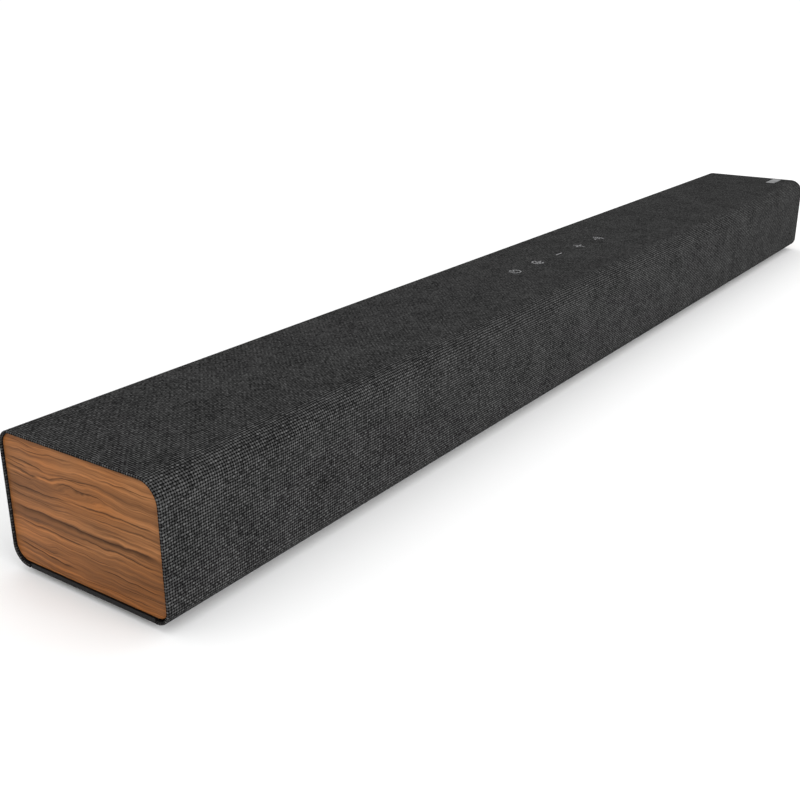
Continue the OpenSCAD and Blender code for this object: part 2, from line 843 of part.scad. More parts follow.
function opening_r(d) = d[0] - flange_w;
function seat_in_r(d) = opening_r(d) - seat_w;
function cone_r(d) = seat_in_r(d) - 2 * d[2];
function neck_z(d) = -d[1] - d[3];
function yoke_z(d) = neck_z(d) - d[7] - 2.4;
function back_z(d) = yoke_z(d) - d[6];

module driver_basket(d) {
    plate_in = d[4] + 3;
    wall_out = d[5] + 1.5;
    low = -d[1] - 1.6;
    color("#2c2d2f") {
        translate([-d[0] + 0.5, -terminal_w / 2, -flange_t - terminal_l])
            cube([terminal_t, terminal_w, terminal_l + 0.5]);
        difference() {
            rotate_extrude($fn = 96)
                polygon([[opening_r(d), 0], [d[0], 0], [d[0], -flange_t],
                         [opening_r(d) + basket_t, -flange_t], [seat_in_r(d) + basket_t, low],
                         [wall_out, yoke_z(d)], [plate_in, yoke_z(d)],
                         [plate_in, yoke_z(d) + basket_t], [wall_out - 1.6, yoke_z(d) + basket_t],
                         [seat_in_r(d), low], [seat_in_r(d), -d[1]], [opening_r(d), -d[1]]]);
            // windows between the spokes
            for (a = [0:60:300])
                rotate([0, 0, a + 30]) translate([0, -d[0] * 0.16, yoke_z(d) + 2 * basket_t])
                    cube([d[0], d[0] * 0.32, low - 2 * basket_t - yoke_z(d) - 2 * basket_t]);
            for (a = [45:90:315])
                rotate([0, 0, a]) translate([d[0] - flange_screw_in, 0, -flange_t - over])
                    cylinder(h = flange_t + 2 * over, r = 0.8, $fn = 24);
        }
    }
}

module driver_magnet(d) {
    slot_z = yoke_z(d) - coil_l - d[7] - 0.8;
    y = yoke_z(d);
    b = back_z(d);
    color("#6f7174")
    rotate_extrude($fn = 96)
        polygon([[0, y], [d[4] - 0.9, y], [d[4] - 0.9, slot_z], [d[4] + 1.3, slot_z], [d[4] + 1.3, y - 0.1],
                 [d[5] - 1.5, y - 0.1], [d[5] - 1.5, y - 2.6], [d[5], y - 2.6], [d[5], b + 2],
                 [d[5] - 1, b + 2], [d[5] - 1, b], [0, b]]);
}

module driver_cone(d) {
    n = neck_z(d);
    e = -d[1] - 0.8;
    r = cone_r(d);
    cap_r = d[4] + 0.4 * (r - 1.6 - d[4]);
    cap_rise = cap_r * 0.45;
    cap_from = n + (cap_r - d[4]) * (e - n) / (r - 1.6 - d[4]);
    cap_top = [for (i = [0:8]) [cap_r * cos(90 * i / 8), cap_from + sheet_t + cap_rise * sin(90 * i / 8)]];
    cap_under = [for (i = [8:-1:0])
        [(cap_r - sheet_t) * cos(90 * i / 8), cap_from + cap_rise * sin(90 * i / 8)]];
    color("#26262a")
    rotate_extrude($fn = 96) union() {
        polygon([[d[4], n], [r - 1.6, e], [r, e], [r, e + sheet_t], [r - 1.8, e + sheet_t],
                 [d[4] - 0.1, n + sheet_t]]);
        polygon([[d[4] - 0.1, n + sheet_t], [d[4] - 0.1, yoke_z(d) - coil_l],
                 [d[4] + 0.5, yoke_z(d) - coil_l], [d[4] + 0.5, n + 0.1]]);
        polygon(concat(cap_top, cap_under));
    }
}

module driver_surround(d) {
    base = -d[1];
    c = [seat_in_r(d) - d[2], base + 0.1];
    color("#151516")
    rotate_extrude($fn = 96)
        polygon(concat(
            [[cone_r(d) - 1.4, base], [cone_r(d) + 0.05, base]],
            arc_points(c, d[2] - sheet_t, 180, -180, 12),
            [[seat_in_r(d) + 0.05, base], [opening_r(d) - 0.1, base], [opening_r(d) - 0.1, base + sheet_t]],
            arc_points(c, d[2], 8, 164, 12),
            [[cone_r(d) - 1.4, base + sheet_t]]
        ));
}

module at_right_driver() {
    translate([driver_x, -inner_face, driver_z]) rotate([90, 0, 0]) children();
}

module at_left_driver() {
    mirror([1, 0, 0]) at_right_driver() children();
}

module at_woofer() {
    translate([woofer_x, plate_mid, plate_top]) rotate([180, 0, 180]) children();
}

// Screws through the holes in a driver's flange, heads to the back
module flange_screws(d) {
    for (a = [45:90:315])
        rotate([0, 0, a]) translate([d[0] - flange_screw_in, 0, -flange_t - 1])
            screw(0.7, 1.3, 1, flange_t + 0.4);
}

module driver_screws() {
    color("#8c8e90") {
        at_left_driver() flange_screws(small_driver);
        at_right_driver() flange_screws(small_driver);
        at_woofer() flange_screws(big_driver);
    }
}

// ---------------------------------------------------------------- speaker boxes

box_front = inner_face - 0.8;
box_rear = face - insert_depth - box_gap;
box_half_h = driver_r + box_gap + box_wall;
cable_r = 1.1;
lead_r = 0.7;
cable_hole_r = cable_r + 0.4;
cable_z = plate_top + 4.2;
cable_y = inner_face - 4;
box_cable_x = min(speaker_in + 14, (speaker_in + box_wall + driver_x - driver_r) / 2);
box_cable_z = driver_z - driver_r + 3;
woofer_cable_z = plate_top + terminal_depth;
woofer_box_gap = 2.8;

module speaker_box() {
    low = driver_z - box_half_h;
    high = driver_z + box_half_h;
    color("#1f1f21")
    difference() {
        union() {
            block([speaker_in, -box_front, low], [speaker_out, box_rear, high]);
            // the end walls reach forward to stand against the front wall, between its rounds
            block([speaker_in, -inner_face, driver_z - driver_r],
                  [speaker_out, -box_front + over, driver_z + driver_r]);
        }
        block([speaker_in + box_wall, -inner_face - over, low + box_wall],
              [speaker_out - box_wall, box_rear - box_wall, high - box_wall]);
        translate([box_cable_x, box_rear + over, box_cable_z]) rotate([90, 0, 0])
            cylinder(h = box_wall + 2 * over, r = cable_hole_r);
    }
}

module woofer_box() {
    high = ceiling - woofer_box_gap;
    front = plate_front + box_gap;
    rear = plate_rear - box_gap;
    color("#1f1f21")
    difference() {
        block([-module_out, front, plate_top], [-module_in, rear, high]);
        block([-module_out + box_wall, front + box_wall, plate_top - over],
              [-module_in - box_wall, rear - box_wall, high - box_wall]);
        translate([-module_in - box_wall - over, plate_mid, woofer_cable_z]) rotate([0, 90, 0])
            cylinder(h = box_wall + 2 * over, r = cable_hole_r);
    }
}

module port_tube() {
    color("#1f1f21")
    translate([port_x, plate_mid, plate_top]) difference() {
        union() {
            cylinder(h = port_l, r = port_out_r);
            cylinder(h = 2, r = port_out_r + 3);
        }
        translate([0, 0, -over]) cylinder(h = port_l + 2 * over, r = port_r);
    }
}

// ---------------------------------------------------------------- cables

// Directions along a path and across it
function unit(v) = v / norm(v);
function path_dir(p, i) =
    i == 0 ? unit(p[1] - p[0])
    : i == len(p) - 1 ? unit(p[i] - p[i - 1])
    : unit(unit(p[i] - p[i - 1]) + unit(p[i + 1] - p[i]));
function side_of(t) = abs(t[2]) > 0.9 ? unit(cross(t, [1, 0, 0])) : unit(cross(t, [0, 0, 1]));

// The rounded stretch that takes a path's corner i, with its ends a distance cut before and after it
function rounded(p, cut) = concat(
    [p[0]],
    [for (i = [1:len(p) - 2])
        let (a = p[i] + cut * unit(p[i - 1] - p[i]), b = p[i] + cut * unit(p[i + 1] - p[i]))
        for (k = [0:3]) let (t = k / 3) (1 - t) * (1 - t) * a + 2 * t * (1 - t) * p[i] + t * t * b],
    [p[len(p) - 1]]
);

// Carries the ring's first direction along the path without twist
function carried(p, i) =
    i == 0 ? side_of(path_dir(p, 0))
    : let (before = carried(p, i - 1), t = path_dir(p, i)) unit(before - (before * t) * t);

module tube(path, r, sides = 8) {
    n = len(path);
    points = [for (i = [0:n - 1])
        let (t = path_dir(path, i), u = carried(path, i), v = cross(t, u))
        for (k = [0:sides - 1]) path[i] + r * (cos(360 * k / sides) * u + sin(360 * k / sides) * v)];
    faces = concat(
        [[for (k = [0:sides - 1]) k]],
        [for (i = [0:n - 2], k = [0:sides - 1])
            let (next = (k + 1) % sides)
            [i * sides + k, (i + 1) * sides + k, (i + 1) * sides + next, i * sides + next]],
        [[for (k = [sides - 1:-1:0]) (n - 1) * sides + k]]
    );
    polyhedron(points = points, faces = faces);
}

// Each path runs from the board it starts at to the piece it ends at.
module internal_cables() {
    board_mid_y = board_front - 4;
    out_x = bay_w / 2 - 10;
    terminal_y = -inner_face + terminal_depth;
    speaker_path = [
        [out_x, board_front, board_low + 5], [out_x, board_mid_y, board_low + 5],
        [out_x, board_mid_y, cable_z], [out_x, cable_y, cable_z], [box_cable_x, cable_y, cable_z],
        [box_cable_x, cable_y, box_cable_z], [box_cable_x, 0, box_cable_z],
        [box_cable_x, terminal_y, driver_z],
        [driver_x - driver_r + 0.5, terminal_y, driver_z]
    ];
    port_side_y = plate_mid - port_out_r - 5;
    woofer_path = [
        [-out_x + 10, board_front, board_low + 7], [-out_x + 10, board_mid_y - 5, board_low + 7],
        [-out_x + 10, board_mid_y - 5, woofer_cable_z], [-module_in + 8, plate_mid, woofer_cable_z],
        [-module_in - box_wall - 3, plate_mid, woofer_cable_z],
        [port_x + port_out_r, port_side_y, woofer_cable_z],
        [port_x - port_out_r, port_side_y, woofer_cable_z],
        [woofer_x + woofer_r + 6, plate_mid, woofer_cable_z],
        [woofer_x + woofer_r - 0.5, plate_mid, woofer_cable_z]
    ];
    key_lead_x = key_row_x - 1.5 * key_pitch;
    key_lead_y = key_row_y - key_board_d / 2;
    key_lead_z = key_board_low + board_t / 2;
    key_path = [
        [key_lead_x, key_lead_y, key_lead_z], [key_lead_x, key_lead_y - 7, key_lead_z],
        [key_lead_x, key_lead_y - 7, board_high - 4], [key_lead_x, board_front, board_high - 4]
    ];
    status_lead_x = key_row_x - 10;
    status_path = [
        [status_lead_x, -status_board_front + board_t, driver_z], [status_lead_x, -inner_face + 15, driver_z],
        [status_lead_x, -inner_face + 15, board_low + 5], [status_lead_x, board_front, board_low + 5]
    ];
    power_lead_z = power_board_low + board_t / 2;
    supply_path = [
        [power_in, plate_mid, power_lead_z], [power_in - 10, plate_mid, power_lead_z],
        [out_x, board_mid_y, board_low + 14], [out_x, board_front, board_low + 14]
    ];
    inlet_y = bay_floor - socket_l / 2;
    mains_path = [
        [power_x + power_w / 2, inlet_y, bay_z], [bay_out + 4, inlet_y, bay_z],
        [bay_out + 4, inlet_y, power_lead_z], [power_in, inlet_y, power_lead_z]
    ];
    color("#303033") {
        both_ends() tube(rounded(speaker_path, 3), cable_r);
        tube(rounded(woofer_path, 3), cable_r);
        for (path = [key_path, status_path, supply_path]) tube(rounded(path, 3), lead_r);
        tube(rounded(mains_path, 3), cable_r);
    }
}

// ---------------------------------------------------------------- assembly

fabric_sleeve();
grille_carrier();
mirror([1, 0, 0]) wood_panel();  // left_wood_panel
wood_panel();  // right_wood_panel
mirror([1, 0, 0]) end_frame();  // left_end_frame
end_frame();  // right_end_frame
base_plate();
rubber_feet();
base_screws();
rear_bay();
mirror([1, 0, 0]) keyhole_insert();  // left_keyhole_insert
keyhole_insert();  // right_keyhole_insert
badge();
control_icons();
key_cap(0);  // key_power
key_cap(1);  // key_input
key_cap(2);  // key_volume_down
key_cap(3);  // key_volume_up
key_cap(4);  // key_pairing
switch_stem(0);  // stem_power
switch_stem(1);  // stem_input
switch_stem(2);  // stem_volume_down
switch_stem(3);  // stem_volume_up
switch_stem(4);  // stem_pairing
keypad_bracket();
key_board();
tact_switches();
status_board();
status_lenses();
ir_receiver();
main_board();
board_chips();
amplifier_heatsink();
power_board();
power_transformer();
power_capacitors();
power_inlet();
hdmi_socket();
optical_socket();
optical_shutter();
usb_socket();
aux_socket();
at_left_driver() driver_basket(small_driver);  // left_driver_basket
at_left_driver() driver_magnet(small_driver);  // left_driver_magnet
at_left_driver() driver_cone(small_driver);  // left_driver_cone
at_left_driver() driver_surround(small_driver);  // left_driver_surround
at_right_driver() driver_basket(small_driver);  // right_driver_basket
at_right_driver() driver_magnet(small_driver);  // right_driver_magnet
at_right_driver() driver_cone(small_driver);  // right_driver_cone
at_right_driver() driver_surround(small_driver);  // right_driver_surround
at_woofer() driver_basket(big_driver);  // woofer_basket
at_woofer() driver_magnet(big_driver);  // woofer_magnet
at_woofer() driver_cone(big_driver);  // woofer_cone
at_woofer() driver_surround(big_driver);  // woofer_surround
mirror([1, 0, 0]) speaker_box();  // left_speaker_box
speaker_box();  // right_speaker_box
woofer_box();
port_tube();
driver_screws();
internal_cables();
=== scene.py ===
"""Finishes the soundbar: its woven sleeve, its walnut ends, and a finish for every other part."""

import math

import bpy
from bpy.props import FloatProperty, FloatVectorProperty, IntProperty, PointerProperty
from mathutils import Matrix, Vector


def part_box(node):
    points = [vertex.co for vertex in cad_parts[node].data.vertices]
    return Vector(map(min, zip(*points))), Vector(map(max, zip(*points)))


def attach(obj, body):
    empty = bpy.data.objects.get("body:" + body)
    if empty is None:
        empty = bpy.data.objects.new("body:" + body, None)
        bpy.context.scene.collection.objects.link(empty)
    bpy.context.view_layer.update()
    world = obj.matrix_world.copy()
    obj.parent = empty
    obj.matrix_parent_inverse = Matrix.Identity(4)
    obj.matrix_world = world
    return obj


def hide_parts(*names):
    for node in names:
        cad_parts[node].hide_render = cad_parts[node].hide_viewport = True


bl_info = {
    "name": "Soundbar finish",
    "version": (1, 0, 0),
    "blender": (4, 5, 0),
    "location": "3D View > Sidebar > Soundbar",
    "description": "Builds the soundbar's woven sleeve and walnut ends and finishes every part",
    "category": "Object",
}

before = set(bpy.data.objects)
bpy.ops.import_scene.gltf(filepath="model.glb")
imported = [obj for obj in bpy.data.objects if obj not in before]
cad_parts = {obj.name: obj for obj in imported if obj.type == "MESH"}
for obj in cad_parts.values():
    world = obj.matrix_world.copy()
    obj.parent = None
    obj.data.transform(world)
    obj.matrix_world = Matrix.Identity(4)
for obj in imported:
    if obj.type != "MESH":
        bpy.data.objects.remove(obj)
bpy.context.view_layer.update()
SLEEVE_LOW, SLEEVE_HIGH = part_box("fabric_sleeve")
PLATE_LOW, PLATE_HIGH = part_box("base_plate")
HALF_LENGTH = SLEEVE_HIGH.x
FACE_Y = SLEEVE_HIGH.y
BOTTOM_Z = SLEEVE_LOW.z
TOP_Z = SLEEVE_HIGH.z

# All lengths are in metres, apart from the walnut's growth lines

# How far the cloth runs back from the bar's end towards the walnut
WRAP_RETURN = 0.0011
# Points this near the bar's end belong to the wrapped rim
RIM_ZONE = 0.0025
# Faces this near the sleeve's underside belong to its bottom
BOTTOM_ZONE = 0.004
# Two places closer than this are the same place
SAME_PLACE = 1e-5
# Length of the cutters that open the rear of the sleeve
CUTTER_DEPTH = 0.012
# The floor lies a hair below the feet, so that the two never share a plane
FLOOR_LEVEL = -0.0003
FLOOR_SIZE = 40.0
# Each soft light's width, its place and the place it looks at
FRONT_LIGHT = (2.4, (-0.5, -3.0, 0.85), (0.0, 0.0, 0.03))
SIDE_LIGHT = (1.6, (-2.6, -0.5, 0.9), (-0.3, 0.0, 0.03))
# A noise texture's values lie round the middle, and most of them between the low and the high
NOISE_LOW, NOISE_MIDDLE, NOISE_HIGH = 0.3, 0.5, 0.7
# The walnut's small eye on the end panel: its middle and its half width and half height
EYE_Y, EYE_Z = 0.001, 0.0505
EYE_WIDE, EYE_HIGH = 0.014, 0.0042

# The walnut's dark growth lines in mm: first y, its z, last y, its z, width
WALNUT_LINES = (
    (46, 67.0, 28, 66.0, 0.4), (38, 63.5, 2, 64.5, 0.3), (26, 52.6, -18, 56.2, 0.5),
    (50, 58.6, 20, 55.4, 0.6), (50, 56.4, 34, 54.6, 0.4), (50, 54.2, 26, 51.8, 0.8),
    (46, 50.6, 30, 50.0, 0.35), (52, 45.6, 4, 46.4, 0.6), (9, 46.8, -52, 45.8, 0.7),
    (17, 51.6, -20, 49.4, 0.28), (14, 54.4, -8, 53.0, 0.3), (-14, 60.0, -50, 61.5, 0.35),
    (50, 41.2, 16, 40.0, 0.3), (-4, 41.6, -50, 42.0, 0.3), (52, 34.4, -12, 31.6, 1.6),
    (14, 31.6, -52, 33.6, 1.4), (8, 28.7, -52, 28.9, 0.5), (50, 26.2, -6, 26.0, 0.55),
    (30, 22.4, -22, 22.0, 0.3), (-6, 18.8, -50, 18.2, 0.45), (52, 14.9, 4, 12.6, 0.9),
    (44, 16.6, 18, 16.0, 0.3), (12, 9.6, -44, 10.4, 0.35), (-20, 14.0, -52, 14.6, 0.3),
)
LINE_SOCKETS = ("First Y", "First Z", "Last Y", "Last Z", "Width")

# What a finish's node group puts out
FINISH_SOCKETS = {"Color": "Color", "Height": "Float", "Roughness": "Float"}


# ---------------------------------------------------------------- settings


def colour(label, value, about):
    return FloatVectorProperty(
        name=label, description=about, default=(*value, 1.0), subtype="COLOR", size=4,
        min=0.0, max=1.0,
    )


def length(label, value, about):
    return FloatProperty(
        name=label, description=about, default=value, unit="LENGTH", min=0.0, precision=5
    )


def angle(label, degrees, about):
    return FloatProperty(
        name=label, description=about, default=math.radians(degrees), subtype="ANGLE"
    )


def light_power(label, value, about):
    return FloatProperty(name=label, description=about, default=value, unit="POWER", min=0.0)


class BarShape(bpy.types.PropertyGroup):
    """Sizes of the woven sleeve and the walnut ends"""

    front_top_radius: length("Front top radius", 0.0115, "Round between the front and the top")
    rear_top_radius: length("Rear top radius", 0.008, "Round between the rear and the top")
    front_bottom_radius: length("Front bottom radius", 0.008, "Round below the front")
    rear_bottom_radius: length("Rear bottom radius", 0.0095, "Round below the rear")
    round_steps: IntProperty(
        name="Round steps", description="Faces in each round", default=14, min=4, max=32
    )
    cloth_thickness: length("Cloth thickness", 0.0006, "Thickness of the woven cloth")
    end_wrap: length("End wrap", 0.00138, "Width of the cloth edge shown round each panel")
    end_proud: length("End allowance", 0.00015, "How far the cloth stands past the housing")
    outer_rim_round: length("Outer rim round", 0.00055, "Round of the rim's outer edge")
    inner_rim_round: length("Inner rim round", 0.0002, "Round of the rim's edge by the walnut")
    turn_in: length("Turned hem", 0.0012, "Height that the bottom hems turn up inside")
    hem_lean: length("Hem lean", 0.0003, "How far each turned hem leans over the bottom plate")
    hem_gap: length("Hem gap", 0.0008, "Gap between the bottom plate and the hems")
    opening_gap: length("Opening gap", 0.0002, "Gap around the rims let into the rear")
    opening_corner: length("Opening corner", 0.003, "Corner radius of the rims in the rear")
    panel_inset: length("Panel inset", 0.0014, "Distance from the sleeve's outside to the walnut")
    panel_edge: length("Panel edge", 0.0005, "Round of the walnut panel's visible edge")


class BarFinish(bpy.types.PropertyGroup):
    """Colours and grain sizes of the bar's finishes"""

    yarn: length("Yarn", 0.00143, "Distance between neighbouring yarns of the cloth")
    # painted shade where the cloth turns in towards the walnut
    turned_in_shade: length("Turned in shade", 0.00145, "Where the cloth darkens past the bar's ends")
    light_yarn: colour("Light yarn", (0.110, 0.110, 0.1095), "The palest fibres of the cloth")
    dark_yarn: colour("Dark yarn", (0.021, 0.021, 0.0213), "The darkest fibres of the cloth")
    # painted shade in the holes between the yarns, where the dark inside shows
    yarn_gap_shade: colour("Yarn gap shade", (0.0008, 0.0008, 0.0008), "What shows between the yarns")
    walnut_light: colour("Pale walnut", (0.268, 0.113, 0.040), "Pale wood between the lines")
    walnut_ruddy: colour("Ruddy walnut", (0.270, 0.092, 0.020), "Redder patches of the wood")
    walnut_dark: colour("Brown walnut", (0.125, 0.050, 0.017), "Brown bands of the wood")
    # painted highlight along the walnut panel's rounded edge
    walnut_edge_highlight: colour("Walnut edge highlight", (0.42, 0.17, 0.052), "Painted highlight along the wood's rounded edge")
    walnut_vein: colour("Walnut vein", (0.026, 0.011, 0.004), "The dark growth lines")
    black_plastic: colour("Black plastic", (0.0055, 0.0055, 0.0057), "Moulded housing parts")
    worn_plastic: colour("Worn plastic", (0.020, 0.020, 0.0205), "Rubbed edges of mouldings")
    rubber: colour("Rubber", (0.010, 0.010, 0.010), "Feet, surrounds and cable covers")
    black_screw: colour("Black screw", (0.03, 0.03, 0.031), "Blackened screws")
    plated_steel: colour("Plated steel", (0.56, 0.56, 0.57), "Sockets and driver screws")
    badge: colour("Badge", (0.115, 0.117, 0.121), "The blank badge")
    mark_ink: colour("Mark ink", (0.50, 0.50, 0.51), "The printed marks over the keys")
    key_plastic: colour("Key plastic", (0.035, 0.035, 0.036), "Key caps")
    stem_plastic: colour("Stem plastic", (0.55, 0.54, 0.50), "Switch stems")
    solder_mask: colour("Solder mask", (0.012, 0.075, 0.035), "Circuit boards")
    chip: colour("Chip", (0.008, 0.008, 0.009), "Chips, receiver, switches and sockets")
    light_guide: colour("Light guide", (0.75, 0.75, 0.72), "Status lenses")
    aluminium: colour("Aluminium", (0.62, 0.63, 0.64), "Heatsink and capacitor cans")
    iron: colour("Iron", (0.19, 0.19, 0.20), "Magnets and transformer")
    basket: colour("Basket paint", (0.016, 0.016, 0.017), "Driver baskets")
    cone: colour("Cone", (0.022, 0.022, 0.024), "Driver cones")


class BarStudio(bpy.types.PropertyGroup):
    """Camera, lights and floor"""

    eye: FloatVectorProperty(
        name="Camera place", description="Where the camera stands",
        default=(-0.70301, -0.34773, 0.24965), subtype="TRANSLATION", unit="LENGTH",
    )
    turn: angle("Turn", 55.042, "Camera's turn from +Y towards +X")
    dip: angle("Dip", 20.717, "How far the camera looks down")
    lens: FloatProperty(
        name="Lens", description="Focal length on a 36 mm sensor", default=48.18, unit="CAMERA"
    )
    floor: colour("Floor", (0.97, 0.97, 0.97), "The pale floor")
    sky: FloatProperty(
        name="Sky", description="Strength of the even light all round", default=1.05, min=0.0
    )
    key_power: light_power("Key light", 74.0, "Power of the large front light")
    side_power: light_power("Side light", 4.0, "Power of the light on the left end")


# ---------------------------------------------------------------- node building


def feed(tree, node, feeds):
    """Gives a node's sockets values, or links them to other nodes' outputs."""
    for key, value in feeds.items():
        if isinstance(value, bpy.types.NodeSocket):
            tree.links.new(value, node.inputs[key])
        else:
            node.inputs[key].default_value = value


def place(tree, kind, feeds=None, **settings):
    """Adds a shader node in the next free place, sets it and feeds its sockets."""
    node = tree.nodes.new("ShaderNode" + kind)
    row, column = divmod(len(tree.nodes), 10)
    node.location = (210 * column, -300 * row)
    for key, value in settings.items():
        setattr(node, key, value)
    feed(tree, node, feeds or {})
    return node


def calc(tree, operation, *values, clamp=False):
    node = place(tree, "Math", dict(enumerate(values)), operation=operation, use_clamp=clamp)
    return node.outputs[0]


def remap(tree, value, low, high, to_low=0.0, to_high=1.0):
    """The value moved from one range to another and held inside it."""
    feeds = {"Value": value, "From Min": low, "From Max": high, "To Min": to_low, "To Max": to_high}
    return place(tree, "MapRange", feeds).outputs["Result"]


def tint(tree, share, first, second, way="MIX"):
    """The second colour over the first, by its share."""
    feeds = {0: share, 6: first, 7: second}
    return place(tree, "Mix", feeds, data_type="RGBA", blend_type=way).outputs[2]


def shaded(tree, base, tone):
    """The base colour, brighter or darker by a tone."""
    grey = place(tree, "CombineColor", {0: tone, 1: tone, 2: tone}).outputs[0]
    return tint(tree, 1.0, base, grey, "MULTIPLY")


def join(tree, x, y, z=0.0):
    return place(tree, "CombineXYZ", {"X": x, "Y": y, "Z": z}).outputs[0]


def stretch(tree, vector, scale, shift=(0.0, 0.0, 0.0)):
    return place(tree, "Mapping", {"Vector": vector, "Scale": scale, "Location": shift}).outputs[0]


def noise(tree, vector, scale=1.0, detail=2.0, rough=0.5, output="Fac"):
    """A noise texture's value, or its colour."""
    feeds = {"Vector": vector, "Scale": scale, "Detail": detail, "Roughness": rough}
    return place(tree, "TexNoise", feeds).outputs[output]


def vary(tree, value, low, high):
    """A noise value spread over a range."""
    return remap(tree, value, NOISE_LOW, NOISE_HIGH, low, high)


def sway(tree, value, amount):
    """A noise value as a movement, either way by up to half the amount."""
    return calc(tree, "MULTIPLY", calc(tree, "SUBTRACT", value, NOISE_MIDDLE), amount)


def start_group(name, takes, gives):
    """A node group and its sockets inside: (tree, what it takes, what it gives).

    Each input has a default: a number, a colour, or None for a vector.
    """
    tree = bpy.data.node_groups.new(name, "ShaderNodeTree")
    for label, value in takes.items():
        kind = "Vector" if value is None else "Color" if isinstance(value, tuple) else "Float"
        socket = tree.interface.new_socket(
            label, in_out="INPUT", socket_type="NodeSocket" + kind
        )
        if value is not None:
            socket.default_value = value
    for label, kind in gives.items():
        tree.interface.new_socket(label, in_out="OUTPUT", socket_type="NodeSocket" + kind)
    inside, outside = tree.nodes.new("NodeGroupInput"), tree.nodes.new("NodeGroupOutput")
    return tree, inside.outputs, outside.inputs


def give(tree, gives, **results):
    """Links a group's results to its outputs."""
    for label, result in results.items():
        tree.links.new(result, gives[label])


def group(name):
    """The named node group, built the first time it is asked for."""
    return bpy.data.node_groups.get(name) or GROUPS[name](name)


# ---------------------------------------------------------------- node groups


def lay_yarns(tree, run, side, sign):
    """Parallel yarns, seen along and across them: (their height, their round body, their tone).

    The weft's sign is 1 and the warp's is -1, so that they swing opposite ways.
    """
    rise, lead, tone_step = 0.42 * sign, 0.07 * sign, 0.05 * sign
    index = calc(tree, "FLOOR", side)
    # neighbouring yarns rise and dip in turn
    flip = calc(tree, "MULTIPLY_ADD", calc(tree, "PINGPONG", index, 1.0), -2.0, 1.0)
    wave = calc(tree, "SINE", calc(tree, "MULTIPLY", run, math.pi))
    swing = calc(tree, "MULTIPLY", wave, flip)
    off = calc(tree, "SUBTRACT", calc(tree, "SUBTRACT", side, index), 0.5)
    # each yarn swells and thins along its length
    swell = noise(tree, stretch(tree, join(tree, run, index), (0.16, 3.7, 1.0)), detail=1.0)
    reach = calc(tree, "POWER", calc(tree, "MULTIPLY", off, vary(tree, swell, 3.2, 2.4)), 2.0)
    body = calc(tree, "SQRT", calc(tree, "SUBTRACT", 1.0, reach, clamp=True))
    height = calc(tree, "ADD", calc(tree, "MULTIPLY_ADD", swing, rise, body), lead)
    # pale and dark fibres run along the yarn, with fine hairs between them
    fibre = noise(
        tree, stretch(tree, join(tree, run, index), (0.55, 5.3, 1.0)), detail=2.5, rough=0.65
    )
    hair = noise(tree, stretch(tree, join(tree, run, side), (1.3, 9.0, 1.0)))
    tone = calc(tree, "ADD", remap(tree, fibre, 0.36, 0.66, 0.05, 0.95), sway(tree, hair, 0.5))
    return height, body, calc(tree, "ADD", tone, tone_step)


def build_weave(name):
    """Plain weave: yarns that cross over and under one another, in pale and dark fibres, with
    painted shade in their dips and between them.
    """
    tree, takes, gives = start_group(
        name,
        {
            "Vector": None, "Yarn": 0.00143, "Light": (0.13, 0.13, 0.13, 1.0),
            "Dark": (0.02, 0.02, 0.02, 1.0), "Gap": (0.0, 0.0, 0.0, 1.0), "Slubs": 0.4,
            "Turned In Shade": 1.0,
        },
        FINISH_SOCKETS,
    )
    flat = takes["Vector"]
    spot = place(tree, "SeparateXYZ", {0: flat}).outputs
    # the yarns wander a little, so the rows aren't ruled lines
    wander = place(tree, "SeparateColor", {0: noise(tree, flat, 95.0, output="Color")}).outputs
    along, across = (
        calc(
            tree, "ADD", calc(tree, "DIVIDE", spot[axis], takes["Yarn"]),
            sway(tree, wander[axis], takes["Slubs"]),
        )
        for axis in (0, 1)
    )
    weft_height, weft_body, weft_tone = lay_yarns(tree, along, across, 1.0)
    warp_height, warp_body, warp_tone = lay_yarns(tree, across, along, -1.0)
    height = calc(tree, "MAXIMUM", weft_height, warp_height)
    body = calc(tree, "MAXIMUM", weft_body, warp_body)
    weft_shows = calc(tree, "GREATER_THAN", weft_height, warp_height)
    tones = {0: weft_shows, 2: warp_tone, 3: weft_tone}
    tone = place(tree, "Mix", tones, data_type="FLOAT").outputs[0]
    mottle = vary(tree, noise(tree, flat, 42.0, detail=3.0, rough=0.6), -0.14, 0.14)
    tone = calc(tree, "ADD", tone, mottle, clamp=True)
    yarn = tint(tree, tone, takes["Dark"], takes["Light"])
    # painted shade: a yarn is palest on its crown and darkens as it dips under its neighbours
    yarn = shaded(tree, yarn, calc(tree, "POWER", remap(tree, height, 0.3, 1.28), 2.1))
    # painted shade: the cloth darkens over 0.4 mm where it turns in towards the walnut, as shade in
    # the recess there
    past = calc(tree, "SUBTRACT", calc(tree, "ABSOLUTE", spot[0]), takes["Turned In Shade"])
    turned_shade = remap(tree, past, 0.0, 0.0004, 1.0, 0.7)
    # painted shade: where the yarns thin out at their edges, the colour goes to the near-black gap
    # colour
    show = calc(tree, "MULTIPLY", remap(tree, body, 0.0, 0.45), turned_shade)
    give(
        tree, gives,
        Color=tint(tree, show, takes["Gap"], yarn),
        Height=remap(tree, height, -0.1, 1.42),
        Roughness=remap(tree, tone, 0.0, 1.0, 0.97, 0.84),
    )
    return tree


